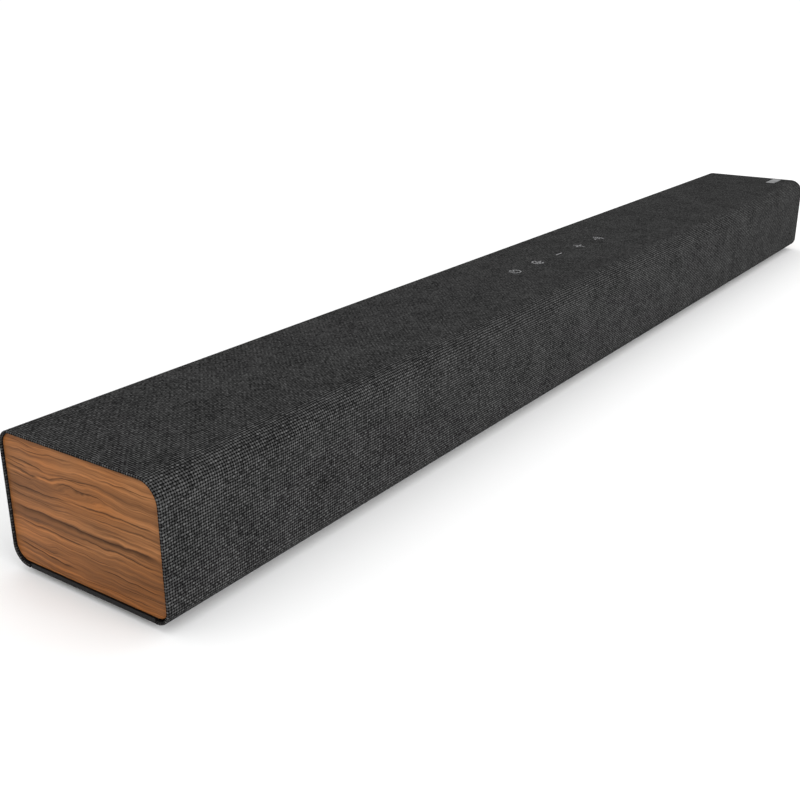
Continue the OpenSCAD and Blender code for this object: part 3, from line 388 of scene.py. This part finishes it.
def build_line(name):
    """One dark growth line from a first to a last place, thinning out at both."""
    tree, takes, gives = start_group(
        name,
        {"Y": 0.0, "Level": 0.0, **dict.fromkeys(LINE_SOCKETS, 0.0)},
        {"Mask": "Float"},
    )
    run = remap(tree, takes["Y"], takes["First Y"], takes["Last Y"])
    slope = calc(tree, "SUBTRACT", takes["Last Z"], takes["First Z"])
    away = calc(
        tree, "SUBTRACT", takes["Level"], calc(tree, "MULTIPLY_ADD", run, slope, takes["First Z"])
    )
    # the line is sharp above and fades below, as late wood does
    sharp = calc(tree, "MULTIPLY", calc(tree, "MAXIMUM", away, 0.0), 2.2)
    soft = calc(tree, "MULTIPLY", calc(tree, "MINIMUM", away, 0.0), -0.7)
    across = calc(tree, "DIVIDE", calc(tree, "ADD", sharp, soft), takes["Width"])
    ends = calc(tree, "MULTIPLY", calc(tree, "PINGPONG", run, 0.5), 5.0, clamp=True)
    body = calc(tree, "SUBTRACT", 1.0, across, clamp=True)
    give(tree, gives, Mask=calc(tree, "MULTIPLY", body, ends))
    return tree


def grain_level(tree, spot, parts):
    """Height in the board, bent by the grain's waves and parted above and below the eye."""
    off_y = calc(tree, "DIVIDE", calc(tree, "SUBTRACT", parts[1], EYE_Y), EYE_WIDE)
    off_z = calc(tree, "DIVIDE", calc(tree, "SUBTRACT", parts[2], EYE_Z), EYE_HIGH)
    ring = calc(tree, "ADD", calc(tree, "POWER", off_y, 2.0), calc(tree, "POWER", off_z, 2.0))
    # a bell: 1 in the eye's middle and fading to 0 around it
    near_eye = calc(tree, "EXPONENT", calc(tree, "MULTIPLY", ring, -0.5))
    lift = calc(tree, "MULTIPLY", calc(tree, "MULTIPLY", off_z, near_eye), -0.0035)
    slow = noise(tree, stretch(tree, spot, (30.0, 30.0, 40.0)), detail=1.0, rough=0.4)
    quick = noise(tree, stretch(tree, spot, (60.0, 85.0, 160.0), (3.0, 1.0, 5.0)))
    wave = calc(tree, "ADD", sway(tree, slow, 0.0068), sway(tree, quick, 0.0027))
    return calc(tree, "ADD", calc(tree, "ADD", parts[2], wave), lift)


def grain_lines(tree, y, level):
    """The mask of all the growth lines together."""
    mask = 0.0
    for row in WALNUT_LINES:
        feeds = {socket: value / 1000 for socket, value in zip(LINE_SOCKETS, row)}
        feeds.update({"Y": y, "Level": level})
        line = place(tree, "Group", feeds, node_tree=group("Grain line")).outputs[0]
        mask = calc(tree, "MAXIMUM", mask, line)
    return mask


def build_grain(name):
    """Walnut with its grain along Y: fine fibres, brown bands, dark growth lines and a painted
    highlight along its edges.
    """
    tree, takes, gives = start_group(
        name,
        {
            "Vector": None, "Light": (0.3, 0.15, 0.07, 1.0), "Dark": (0.15, 0.07, 0.03, 1.0),
            "Vein": (0.04, 0.02, 0.01, 1.0), "Ruddy": (0.4, 0.16, 0.05, 1.0), "Edge": 0.0,
            "Worn": (0.5, 0.2, 0.07, 1.0),
        },
        FINISH_SOCKETS,
    )
    spot = takes["Vector"]
    parts = place(tree, "SeparateXYZ", {0: spot}).outputs
    level = grain_level(tree, spot, parts)
    bent = join(tree, parts[0], parts[1], level)
    bands = noise(tree, stretch(tree, bent, (5.0, 7.0, 210.0), (0.4, 0.0, 0.0)), rough=0.55)
    fine = noise(tree, stretch(tree, bent, (25.0, 14.0, 950.0)), detail=3.0, rough=0.6)
    fibre = noise(tree, stretch(tree, bent, (90.0, 60.0, 2300.0)), rough=0.6)
    broken = remap(tree, fine, 0.3, 0.6, 0.65, 1.1)
    lines = calc(tree, "MULTIPLY", grain_lines(tree, parts[1], level), broken, clamp=True)
    # redder in patches and towards the bottom of the board
    patches = noise(tree, stretch(tree, spot, (14.0, 16.0, 34.0), (2.0, 5.0, 0.0)))
    ruddy = calc(
        tree, "ADD", remap(tree, patches, 0.42, 0.66, 0.0, 0.8),
        remap(tree, parts[2], 0.030, 0.006, 0.0, 0.6), clamp=True,
    )
    wood = tint(tree, ruddy, takes["Light"], takes["Ruddy"])
    wood = tint(tree, remap(tree, bands, 0.42, 0.64, 0.0, 0.9), wood, takes["Dark"])
    streaks = remap(tree, fine, 0.34, 0.66, 0.62, 1.30)
    wood = shaded(tree, wood, calc(tree, "ADD", streaks, vary(tree, fibre, -0.16, 0.16)))
    wood = tint(tree, calc(tree, "MULTIPLY", lines, 0.93), wood, takes["Vein"])
    # painted highlight: the wood lightens along its rounded edges, fed through the Worn input
    wood = tint(tree, calc(tree, "MULTIPLY", takes["Edge"], 0.55), wood, takes["Worn"])
    # the lines lie lower than the fibres round them
    relief = calc(
        tree, "SUBTRACT", calc(tree, "MULTIPLY", fine, 0.5), calc(tree, "MULTIPLY", lines, 0.5)
    )
    dark = calc(tree, "ADD", lines, bands)
    give(
        tree, gives,
        Color=wood,
        Height=calc(tree, "ADD", relief, calc(tree, "MULTIPLY", fibre, 0.35)),
        Roughness=remap(tree, dark, 0.3, 1.6, 0.46, 0.66),
    )
    return tree


def build_moulded(name):
    """Fine spark-eroded texture of moulded plastic, with slow tone changes and rubbed edges."""
    tree, takes, gives = start_group(
        name,
        {
            "Vector": None, "Base": (0.01, 0.01, 0.01, 1.0), "Worn": (0.05, 0.05, 0.05, 1.0),
            "Wear": 0.0, "Grain": 2600.0, "Dull": 0.5,
        },
        FINISH_SOCKETS,
    )
    spot = takes["Vector"]
    grit = noise(tree, spot, takes["Grain"], rough=0.6)
    cloud = noise(tree, spot, 34.0, detail=3.0, rough=0.55)
    scuff = noise(tree, stretch(tree, spot, (60.0, 420.0, 420.0)), detail=3.0, rough=0.6)
    tone = calc(tree, "ADD", vary(tree, cloud, 0.86, 1.14), vary(tree, grit, -0.10, 0.10))
    base = shaded(tree, takes["Base"], tone)
    patchy = remap(tree, scuff, 0.40, 0.62, 0.15, 1.0)
    rubbed = calc(tree, "MULTIPLY", takes["Wear"], patchy, clamp=True)
    dull = calc(tree, "ADD", takes["Dull"], vary(tree, cloud, -0.06, 0.06))
    polished = calc(tree, "MULTIPLY", rubbed, 0.12)
    give(
        tree, gives,
        Color=tint(tree, rubbed, base, takes["Worn"]),
        Height=grit,
        Roughness=calc(tree, "SUBTRACT", dull, polished, clamp=True),
    )
    return tree


def build_edge(name):
    """A mask that is 1 along a part's sharp edges and 0 on its flats."""
    tree, takes, gives = start_group(name, {"Reach": 0.0006}, {"Mask": "Float"})
    soft = place(tree, "Bevel", {"Radius": takes["Reach"]}, samples=4).outputs[0]
    true = place(tree, "NewGeometry").outputs["True Normal"]
    same = place(tree, "VectorMath", {0: soft, 1: true}, operation="DOT_PRODUCT").outputs["Value"]
    give(tree, gives, Mask=remap(tree, same, 0.995, 0.86))
    return tree


def build_brushed(name):
    """Metal with fine streaks along X, slow tone changes and dull patches."""
    tree, takes, gives = start_group(
        name,
        {"Vector": None, "Base": (0.6, 0.6, 0.6, 1.0), "Wear": 0.0, "Polish": 0.3},
        FINISH_SOCKETS,
    )
    spot = takes["Vector"]
    streak = noise(tree, stretch(tree, spot, (110.0, 4200.0, 4200.0)), detail=3.0, rough=0.6)
    cloud = noise(tree, spot, 60.0, detail=3.0, rough=0.6)
    tone = calc(tree, "ADD", vary(tree, streak, 0.88, 1.08), vary(tree, cloud, -0.07, 0.05))
    tone = calc(tree, "MULTIPLY_ADD", takes["Wear"], 0.25, tone)
    shine = calc(tree, "ADD", takes["Polish"], vary(tree, streak, -0.06, 0.08))
    dull_patches = remap(tree, cloud, 0.4, 0.7, 0.0, 0.08)
    give(
        tree, gives,
        Color=shaded(tree, takes["Base"], tone),
        Height=streak,
        Roughness=calc(tree, "ADD", shine, dull_patches),
    )
    return tree


GROUPS = {
    "Plain weave": build_weave,
    "Grain line": build_line,
    "Walnut grain": build_grain,
    "Moulded surface": build_moulded,
    "Edge mask": build_edge,
    "Brushed metal": build_brushed,
}


# ---------------------------------------------------------------- materials


def on_object(tree):
    return place(tree, "TexCoord").outputs["Object"]


def on_cloth(tree):
    return place(tree, "UVMap", uv_map="cloth").outputs[0]


def edges(tree):
    return place(tree, "Group", node_tree=group("Edge mask")).outputs[0]


def surface(name, group_name, feeds, relief, **shader):
    """A material whose colour, roughness and relief come from a node group.

    A feed can be a function that builds it. All else is set on the shader itself.
    """
    material = bpy.data.materials.new(name)
    material.use_nodes = True
    tree = material.node_tree
    feeds = {key: value(tree) if callable(value) else value for key, value in feeds.items()}
    finish = place(tree, "Group", feeds, node_tree=group(group_name)).outputs
    bump = place(tree, "Bump", {"Height": finish["Height"], "Distance": relief, "Strength": 1.0})
    feed(tree, tree.nodes["Principled BSDF"], {
        "Base Color": finish["Color"],
        "Roughness": finish["Roughness"],
        "Normal": bump.outputs[0],
        **{key.replace("_", " "): value for key, value in shader.items()},
    })
    return material


def plastic(name, base, worn, dull=0.5, grain=2600.0, relief=0.00002, **shader):
    feeds = {
        "Vector": on_object, "Base": base, "Worn": worn, "Wear": edges, "Grain": grain,
        "Dull": dull,
    }
    return surface(name, "Moulded surface", feeds, relief, Specular_IOR_Level=0.14, **shader)


def metal(name, base, polish, relief=0.000006):
    feeds = {"Vector": on_object, "Base": base, "Wear": edges, "Polish": polish}
    return surface(name, "Brushed metal", feeds, relief, Metallic=1.0)


def cloth(name, finish, where, light, dark, gap):
    # the gap colour is painted shade in the holes between the yarns
    feeds = {
        "Vector": where, "Yarn": finish.yarn, "Light": light, "Dark": dark, "Gap": gap,
        "Slubs": 0.55, "Turned In Shade": HALF_LENGTH + finish.turned_in_shade,
    }
    shader = {"Sheen_Weight": 0.01, "Sheen_Roughness": 0.5, "Specular_IOR_Level": 0.0}
    return surface(name, "Plain weave", feeds, relief=0.00042, **shader)


def coat(material, *nodes):
    """Gives CAD nodes a material in place of their plain one."""
    for node in nodes:
        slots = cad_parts[node].data.materials
        slots.clear()
        slots.append(material)


# ---------------------------------------------------------------- modelling


def hold(piece=None):
    """Leaves edit mode and selects this piece alone, or nothing."""
    if bpy.context.object and bpy.context.object.mode != "OBJECT":
        bpy.ops.object.mode_set(mode="OBJECT")
    bpy.ops.object.select_all(action="DESELECT")
    if piece is not None:
        piece.select_set(True)
        bpy.context.view_layer.objects.active = piece


def start(kind, name, **sizes):
    """Adds a primitive with its place in its mesh and nothing else selected."""
    hold()
    getattr(bpy.ops.mesh, f"primitive_{kind}_add")(**sizes)
    piece = bpy.context.object
    piece.name = piece.data.name = name
    bpy.ops.object.transform_apply(location=True, rotation=True, scale=True)
    return piece


def near(value, target, reach=SAME_PLACE):
    return abs(value - target) < reach


def pick(piece, mode, test):
    """Selects the edges or faces whose corners all pass a test, and stays in edit mode."""
    bpy.ops.object.mode_set(mode="EDIT")
    bpy.ops.mesh.select_mode(type=mode)
    bpy.ops.mesh.select_all(action="DESELECT")
    bpy.ops.object.mode_set(mode="OBJECT")
    passed = [test(vertex.co) for vertex in piece.data.vertices]
    for item in piece.data.edges if mode == "EDGE" else piece.data.polygons:
        item.select = all(passed[corner] for corner in item.vertices)
    bpy.ops.object.mode_set(mode="EDIT")


def round_off(radius, steps):
    """Rounds the picked edges."""
    bpy.ops.mesh.bevel(
        offset=radius, segments=steps, profile=0.5, affect="EDGES", clamp_overlap=False
    )


def finish_modifier(piece, kind, name, **settings):
    """Adds a modifier and applies it."""
    hold(piece)
    modifier = piece.modifiers.new(name, kind)
    for key, value in settings.items():
        setattr(modifier, key, value)
    bpy.ops.object.modifier_apply(modifier=name)


def soften(piece, degrees):
    """Smooth shading across shallow angles only."""
    hold(piece)
    bpy.ops.object.shade_smooth_by_angle(angle=math.radians(degrees))


def mirrored(piece, name):
    """A copy of the piece with its own mesh, at the bar's other end."""
    copy = piece.copy()
    copy.data = piece.data.copy()
    copy.name = copy.data.name = name
    bpy.context.scene.collection.objects.link(copy)
    hold(copy)
    bpy.ops.object.mode_set(mode="EDIT")
    bpy.ops.mesh.select_all(action="SELECT")
    bpy.ops.transform.resize(value=(-1.0, 1.0, 1.0), center_override=(0.0, 0.0, 0.0))
    bpy.ops.mesh.flip_normals()
    bpy.ops.object.mode_set(mode="OBJECT")
    return copy


def corner_radii(shape):
    """The section's corner radii, by (side in Y, is the corner at the top)."""
    return {
        (-1, True): shape.front_top_radius,
        (1, True): shape.rear_top_radius,
        (-1, False): shape.front_bottom_radius,
        (1, False): shape.rear_bottom_radius,
    }


def section_bar(name, shape, x_from, x_to, inset, low):
    """A bar along X with the section of the sleeve, taken in by inset, standing on low."""
    wide, high = 2 * (FACE_Y - inset), TOP_Z - inset - low
    piece = start(
        "cube", name, size=1.0, location=((x_from + x_to) / 2, 0.0, low + high / 2),
        scale=(x_to - x_from, wide, high),
    )
    for (side, upper), radius in corner_radii(shape).items():
        level = TOP_Z - inset if upper else low
        pick(
            piece, "EDGE",
            lambda co: near(co.y, side * (FACE_Y - inset)) and near(co.z, level),
        )
        round_off(radius - inset, shape.round_steps)
    bpy.ops.object.mode_set(mode="OBJECT")
    return piece


def wrap_place(shape, y, z):
    """(distance round the section from the middle of the top, depth under the outside)."""
    side = 1 if y > 0 else -1
    radii = corner_radii(shape)
    top, bottom = radii[side, True], radii[side, False]
    out = side * y
    # where the flat top, the upper round, the wall and the lower round end
    top_end = FACE_Y - top
    wall_start = top_end + top * math.pi / 2
    wall_end = wall_start + (TOP_Z - top) - (BOTTOM_Z + bottom)
    under = wall_end + bottom * math.pi / 2
    if out > top_end and z > TOP_Z - top:
        dy, dz = out - top_end, z - (TOP_Z - top)
        return side * (top_end + top * math.atan2(dy, dz)), top - math.hypot(dy, dz)
    if out > FACE_Y - bottom and z < BOTTOM_Z + bottom:
        dy, dz = out - (FACE_Y - bottom), BOTTOM_Z + bottom - z
        return side * (wall_end + bottom * math.atan2(dz, dy)), bottom - math.hypot(dy, dz)
    return min(
        (
            (side * out, TOP_Z - z),
            (side * (wall_start + TOP_Z - top - z), FACE_Y - out),
            (side * (under + FACE_Y - bottom - out), z - BOTTOM_Z),
        ),
        key=lambda found: found[1],
    )


def lay_cloth(piece, shape):
    """Writes the UV map in metres: along the bar and on over its ends, and around it."""
    mesh = piece.data
    end = HALF_LENGTH + shape.end_proud
    while mesh.uv_layers:
        mesh.uv_layers.remove(mesh.uv_layers[0])
    layer = mesh.uv_layers.new(name="cloth")
    for loop in mesh.loops:
        co = mesh.vertices[loop.vertex_index].co
        around, depth = wrap_place(shape, co.y, co.z)
        run = abs(co.x)
        if run > end - RIM_ZONE:
            # on over the rim, and then back in towards the walnut
            turned_back = depth > 0.9 * shape.end_wrap
            run = 2 * end + shape.end_wrap - run if turned_back else run + max(depth, 0.0)
        layer.data[loop.index].uv = (math.copysign(run, co.x), around)


def cut_rear(piece, shape, low, high):
    """Cuts an opening with rounded corners through the rear of the sleeve."""
    gap = shape.opening_gap
    middle = (low + high) / 2
    half_wide, half_high = (high.x - low.x) / 2 + gap, (high.z - low.z) / 2 + gap
    cutter = start(
        "cube", "rear_cutter", size=1.0, location=(middle.x, FACE_Y, middle.z),
        scale=(2 * half_wide, CUTTER_DEPTH, 2 * half_high),
    )
    for x in (middle.x - half_wide, middle.x + half_wide):
        for z in (middle.z - half_high, middle.z + half_high):
            pick(cutter, "EDGE", lambda co: near(co.x, x) and near(co.z, z))
            round_off(shape.opening_corner + gap, steps=8)
    finish_modifier(
        piece, "BOOLEAN", "opening", object=cutter, operation="DIFFERENCE", solver="EXACT"
    )
    bpy.data.objects.remove(cutter)


# ---------------------------------------------------------------- operators


class BAR_OT_studio(bpy.types.Operator):
    """Sets the camera, the pale floor and the soft lights"""

    bl_idname = "bar.studio"
    bl_label = "Studio"

    def soft_light(self, name, power, size, place_at, aim):
        """A square light that looks at a place."""
        data = bpy.data.lights.new(name, "AREA")
        data.energy, data.size = power, size
        lamp = bpy.data.objects.new(name, data)
        lamp.location = place_at
        towards = Vector(aim) - Vector(place_at)
        lamp.rotation_euler = towards.to_track_quat("-Z", "Y").to_euler()
        bpy.context.scene.collection.objects.link(lamp)

    def pale_floor(self, studio):
        """The floor, with a hardly visible cloudiness."""
        floor = start(
            "plane", "pale_floor", size=FLOOR_SIZE, location=(0.0, 0.0, FLOOR_LEVEL)
        )
        material = bpy.data.materials.new("pale_floor")
        material.use_nodes = True
        tree = material.node_tree
        tone = vary(tree, noise(tree, on_object(tree), 1.5), 0.985, 1.0)
        feed(tree, tree.nodes["Principled BSDF"], {
            "Base Color": shaded(tree, studio.floor, tone),
            "Roughness": 0.9,
            "Specular IOR Level": 0.1,
        })
        floor.data.materials.append(material)

    def execute(self, context):
        scene, studio = context.scene, context.scene.bar_studio
        data = bpy.data.cameras.new("bar_camera")
        data.lens, data.sensor_width = studio.lens, 36.0
        data.clip_start, data.clip_end = 0.01, 100.0
        camera = bpy.data.objects.new("bar_camera", data)
        camera.location = studio.eye
        camera.rotation_euler = (math.pi / 2 - studio.dip, 0.0, -studio.turn)
        scene.collection.objects.link(camera)
        scene.camera = camera
        scene.view_settings.view_transform = "Standard"

        self.pale_floor(studio)
        world = bpy.data.worlds.new("bar_sky")
        world.use_nodes = True
        feed(world.node_tree, world.node_tree.nodes["Background"], {
            "Color": (1.0, 1.0, 1.0, 1.0), "Strength": studio.sky,
        })
        scene.world = world
        self.soft_light("front_light", studio.key_power, *FRONT_LIGHT)
        self.soft_light("side_light", studio.side_power, *SIDE_LIGHT)
        return {"FINISHED"}


class BAR_OT_woven_sleeve(bpy.types.Operator):
    """Models the cloth sleeve with its wrapped ends, turned hems and rear openings"""

    bl_idname = "bar.woven_sleeve"
    bl_label = "Woven sleeve"

    def wrap_ends(self, sleeve, shape, end):
        """Wraps the cloth over each end and back in towards the walnut."""
        for side in (-1, 1):
            pick(sleeve, "FACE", lambda co: near(co.x, side * end))
            bpy.ops.mesh.inset(thickness=shape.end_wrap, depth=0.0)
            bpy.ops.mesh.extrude_region_move(
                TRANSFORM_OT_translate={"value": (-side * WRAP_RETURN, 0.0, 0.0)}
            )
            bpy.ops.mesh.delete(type="FACE")
        # each edge's depth under the outside, its radius and the faces in its round
        rims = ((0.0, shape.outer_rim_round, 5), (shape.end_wrap, shape.inner_rim_round, 3))
        for side in (-1, 1):
            for depth, radius, steps in rims:
                pick(
                    sleeve, "EDGE",
                    lambda co: near(co.x, side * end)
                    and near(wrap_place(shape, co.y, co.z)[1], depth, 3 * SAME_PLACE),
                )
                round_off(radius, steps)

    def turn_hems(self, sleeve, shape, hems):
        """Opens the bottom between the hems and turns each hem up inside."""
        for hem in hems:
            bpy.ops.mesh.select_all(action="SELECT")
            bpy.ops.mesh.bisect(plane_co=(0.0, hem, 0.0), plane_no=(0.0, 1.0, 0.0))
        first, last = hems
        pick(
            sleeve, "FACE",
            lambda co: first - SAME_PLACE < co.y < last + SAME_PLACE
            and co.z < BOTTOM_Z + BOTTOM_ZONE,
        )
        bpy.ops.mesh.delete(type="FACE")
        for hem, lean in ((first, shape.hem_lean), (last, -shape.hem_lean)):
            pick(sleeve, "EDGE", lambda co: near(co.y, hem) and near(co.z, BOTTOM_Z))
            bpy.ops.mesh.extrude_edges_move(
                TRANSFORM_OT_translate={"value": (0.0, lean, shape.turn_in)}
            )

    def execute(self, context):
        shape, finish = context.scene.bar_shape, context.scene.bar_finish
        end = HALF_LENGTH + shape.end_proud
        hems = (PLATE_LOW.y - shape.hem_gap, PLATE_HIGH.y + shape.hem_gap)
        sleeve = section_bar("woven_sleeve", shape, -end, end, 0.0, BOTTOM_Z)
        self.wrap_ends(sleeve, shape, end)
        self.turn_hems(sleeve, shape, hems)
        finish_modifier(
            sleeve, "SOLIDIFY", "thickness", thickness=shape.cloth_thickness, offset=-1.0,
            use_even_offset=True,
        )
        for node in ("rear_bay", "left_keyhole_insert", "right_keyhole_insert"):
            cut_rear(sleeve, shape, *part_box(node))
        soften(sleeve, degrees=40.0)
        lay_cloth(sleeve, shape)
        woven = cloth(
            "woven_cloth", finish, on_cloth, finish.light_yarn, finish.dark_yarn, finish.yarn_gap_shade
        )
        sleeve.data.materials.clear()
        sleeve.data.materials.append(woven)
        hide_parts("fabric_sleeve")
        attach(sleeve, "bar")
        return {"FINISHED"}


class BAR_OT_walnut_ends(bpy.types.Operator):
    """Models the walnut end panels"""

    bl_idname = "bar.walnut_ends"
    bl_label = "Walnut ends"

    def turned_over(self, tree):
        """The other face of the same board."""
        return stretch(tree, on_object(tree), (1.0, -1.0, -1.0), (0.0, 0.004, 0.078))

    def execute(self, context):
        shape, finish = context.scene.bar_shape, context.scene.bar_finish
        low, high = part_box("left_wood_panel")
        left = section_bar(
            "left_walnut_panel", shape, low.x, high.x, shape.panel_inset, low.z
        )
        pick(left, "EDGE", lambda co: near(co.x, low.x))
        round_off(shape.panel_edge, steps=3)
        soften(left, degrees=50.0)
        right = mirrored(left, "right_walnut_panel")
        for panel, node, where in (
            (left, "left_wood_panel", on_object), (right, "right_wood_panel", self.turned_over)
        ):
            feeds = {
                "Vector": where, "Light": finish.walnut_light, "Dark": finish.walnut_dark,
                "Vein": finish.walnut_vein, "Ruddy": finish.walnut_ruddy, "Edge": edges,
                "Worn": finish.walnut_edge_highlight,
            }
            panel.data.materials.clear()
            walnut = surface(
                panel.name, "Walnut grain", feeds, relief=0.00008, Specular_IOR_Level=0.10
            )
            panel.data.materials.append(walnut)
            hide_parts(node)
            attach(panel, "bar")
        return {"FINISHED"}


class BAR_OT_housing(bpy.types.Operator):
    """Finishes the moulded housing, bottom plate and speaker boxes"""

    bl_idname = "bar.housing"
    bl_label = "Housing"

    def execute(self, context):
        finish = context.scene.bar_finish
        coat(
            plastic("black_plastic", finish.black_plastic, finish.worn_plastic, dull=0.55),
            "grille_carrier", "left_end_frame", "right_end_frame", "base_plate",
            "keypad_bracket", "left_speaker_box", "right_speaker_box", "woofer_box",
            "port_tube",
        )
        return {"FINISHED"}


class BAR_OT_feet_and_screws(bpy.types.Operator):
    """Finishes the rubber feet and the screws"""

    bl_idname = "bar.feet_and_screws"
    bl_label = "Feet and screws"

    def execute(self, context):
        finish = context.scene.bar_finish
        coat(
            plastic(
                "foot_rubber", finish.rubber, finish.worn_plastic,
                dull=0.82, grain=1500.0, relief=0.00004,
            ),
            "rubber_feet",
        )
        coat(metal("black_screw", finish.black_screw, polish=0.42), "base_screws")
        coat(metal("plated_screw", finish.plated_steel, polish=0.25), "driver_screws")
        return {"FINISHED"}


class BAR_OT_top_keys(bpy.types.Operator):
    """Finishes the printed marks, the badge, and the keys with their stems and switches"""

    bl_idname = "bar.top_keys"
    bl_label = "Top keys"

    def execute(self, context):
        finish = context.scene.bar_finish
        keys = ("power", "input", "volume_down", "volume_up", "pairing")
        # the ink is thinner on the dark fibres; between the yarns it is thinner still and darkened
        # by painted shade
        thin, shaded_gap_ink = (
            (*(channel * share for channel in finish.mark_ink[:3]), 1.0) for share in (0.6, 0.3)
        )
        coat(
            cloth("mark_ink", finish, on_object, finish.mark_ink, thin, shaded_gap_ink),
            "control_icons",
        )
        coat(metal("badge_metal", finish.badge, polish=0.34, relief=0.00001), "badge")
        coat(
            plastic(
                "key_plastic", finish.key_plastic, finish.worn_plastic,
                dull=0.42, grain=3200.0, relief=0.00001,
            ),
            *(f"key_{key}" for key in keys),
        )
        coat(
            plastic(
                "stem_plastic", finish.stem_plastic, finish.light_guide,
                dull=0.4, grain=2200.0, relief=0.00001,
            ),
            *(f"stem_{key}" for key in keys),
        )
        coat(
            plastic(
                "switch_plastic", finish.chip, finish.worn_plastic,
                dull=0.35, grain=2400.0, relief=0.00001,
            ),
            "tact_switches",
        )
        return {"FINISHED"}


class BAR_OT_rear_connections(bpy.types.Operator):
    """Finishes the connector bay, its sockets and the wall keyholes"""

    bl_idname = "bar.rear_connections"
    bl_label = "Rear connections"

    def execute(self, context):
        finish = context.scene.bar_finish
        coat(
            plastic(
                "bay_plastic", finish.black_plastic, finish.worn_plastic,
                dull=0.48, grain=2200.0, relief=0.00003,
            ),
            "rear_bay", "left_keyhole_insert", "right_keyhole_insert",
        )
        coat(
            plastic(
                "socket_plastic", finish.chip, finish.worn_plastic,
                dull=0.36, grain=3600.0, relief=0.00001,
            ),
            "power_inlet", "optical_socket", "optical_shutter", "aux_socket",
        )
        coat(metal("socket_steel", finish.plated_steel, polish=0.27), "hdmi_socket", "usb_socket")
        return {"FINISHED"}


class BAR_OT_electronics(bpy.types.Operator):
    """Finishes the boards, the power supply, the status lights and the cables"""

    bl_idname = "bar.electronics"
    bl_label = "Electronics"

    def execute(self, context):
        finish = context.scene.bar_finish
        coat(
            plastic(
                "board_laminate", finish.solder_mask, finish.stem_plastic,
                dull=0.3, grain=900.0, relief=0.00001,
            ),
            "key_board", "status_board", "main_board", "power_board",
        )
        coat(
            plastic(
                "chip_plastic", finish.chip, finish.worn_plastic,
                dull=0.5, grain=3600.0, relief=0.00001,
            ),
            "board_chips", "ir_receiver",
        )
        coat(
            plastic(
                "clear_plastic", finish.light_guide, finish.light_guide,
                dull=0.12, grain=1200.0, relief=0.000004, Transmission_Weight=0.7,
            ),
            "status_lenses",
        )
        coat(
            metal("extruded_aluminium", finish.aluminium, polish=0.32),
            "amplifier_heatsink", "power_capacitors",
        )
        coat(
            metal("transformer_iron", finish.iron, polish=0.5, relief=0.00002),
            "power_transformer",
        )
        coat(
            plastic(
                "cable_cover", finish.rubber, finish.worn_plastic, dull=0.6, grain=1800.0
            ),
            "internal_cables",
        )
        return {"FINISHED"}


class BAR_OT_drivers(bpy.types.Operator):
    """Finishes the drivers' baskets, magnets, cones and surrounds"""

    bl_idname = "bar.drivers"
    bl_label = "Drivers"

    def execute(self, context):
        finish = context.scene.bar_finish
        materials = {
            "basket": plastic(
                "basket_paint", finish.basket, finish.plated_steel, dull=0.45, grain=1400.0
            ),
            "magnet": metal("magnet_steel", finish.iron, polish=0.45, relief=0.00002),
            "cone": plastic(
                "cone_plastic", finish.cone, finish.worn_plastic,
                dull=0.62, grain=1600.0, relief=0.00004,
            ),
            "surround": plastic(
                "surround_rubber", finish.rubber, finish.worn_plastic, dull=0.7, grain=1500.0
            ),
        }
        for driver in ("left_driver", "right_driver", "woofer"):
            for part, material in materials.items():
                coat(material, f"{driver}_{part}")
        return {"FINISHED"}


STEPS = (
    BAR_OT_studio, BAR_OT_woven_sleeve, BAR_OT_walnut_ends, BAR_OT_housing,
    BAR_OT_feet_and_screws, BAR_OT_top_keys, BAR_OT_rear_connections, BAR_OT_electronics,
    BAR_OT_drivers,
)


class BAR_PT_panel(bpy.types.Panel):
    """Lists the steps that build and finish the bar"""

    bl_idname = "BAR_PT_panel"
    bl_label = "Soundbar"
    bl_space_type = "VIEW_3D"
    bl_region_type = "UI"
    bl_category = "Soundbar"

    def draw(self, context):
        for step in STEPS:
            self.layout.operator(step.bl_idname)


CLASSES = (BarShape, BarFinish, BarStudio, *STEPS, BAR_PT_panel)


def register():
    for item in CLASSES:
        bpy.utils.register_class(item)
    bpy.types.Scene.bar_shape = PointerProperty(type=BarShape)
    bpy.types.Scene.bar_finish = PointerProperty(type=BarFinish)
    bpy.types.Scene.bar_studio = PointerProperty(type=BarStudio)


def unregister():
    for name in ("bar_studio", "bar_finish", "bar_shape"):
        delattr(bpy.types.Scene, name)
    for item in reversed(CLASSES):
        bpy.utils.unregister_class(item)


def main():
    register()
    for step in STEPS:
        area, name = step.bl_idname.split(".")
        getattr(getattr(bpy.ops, area), name)()


if __name__ == "__main__":
    main()
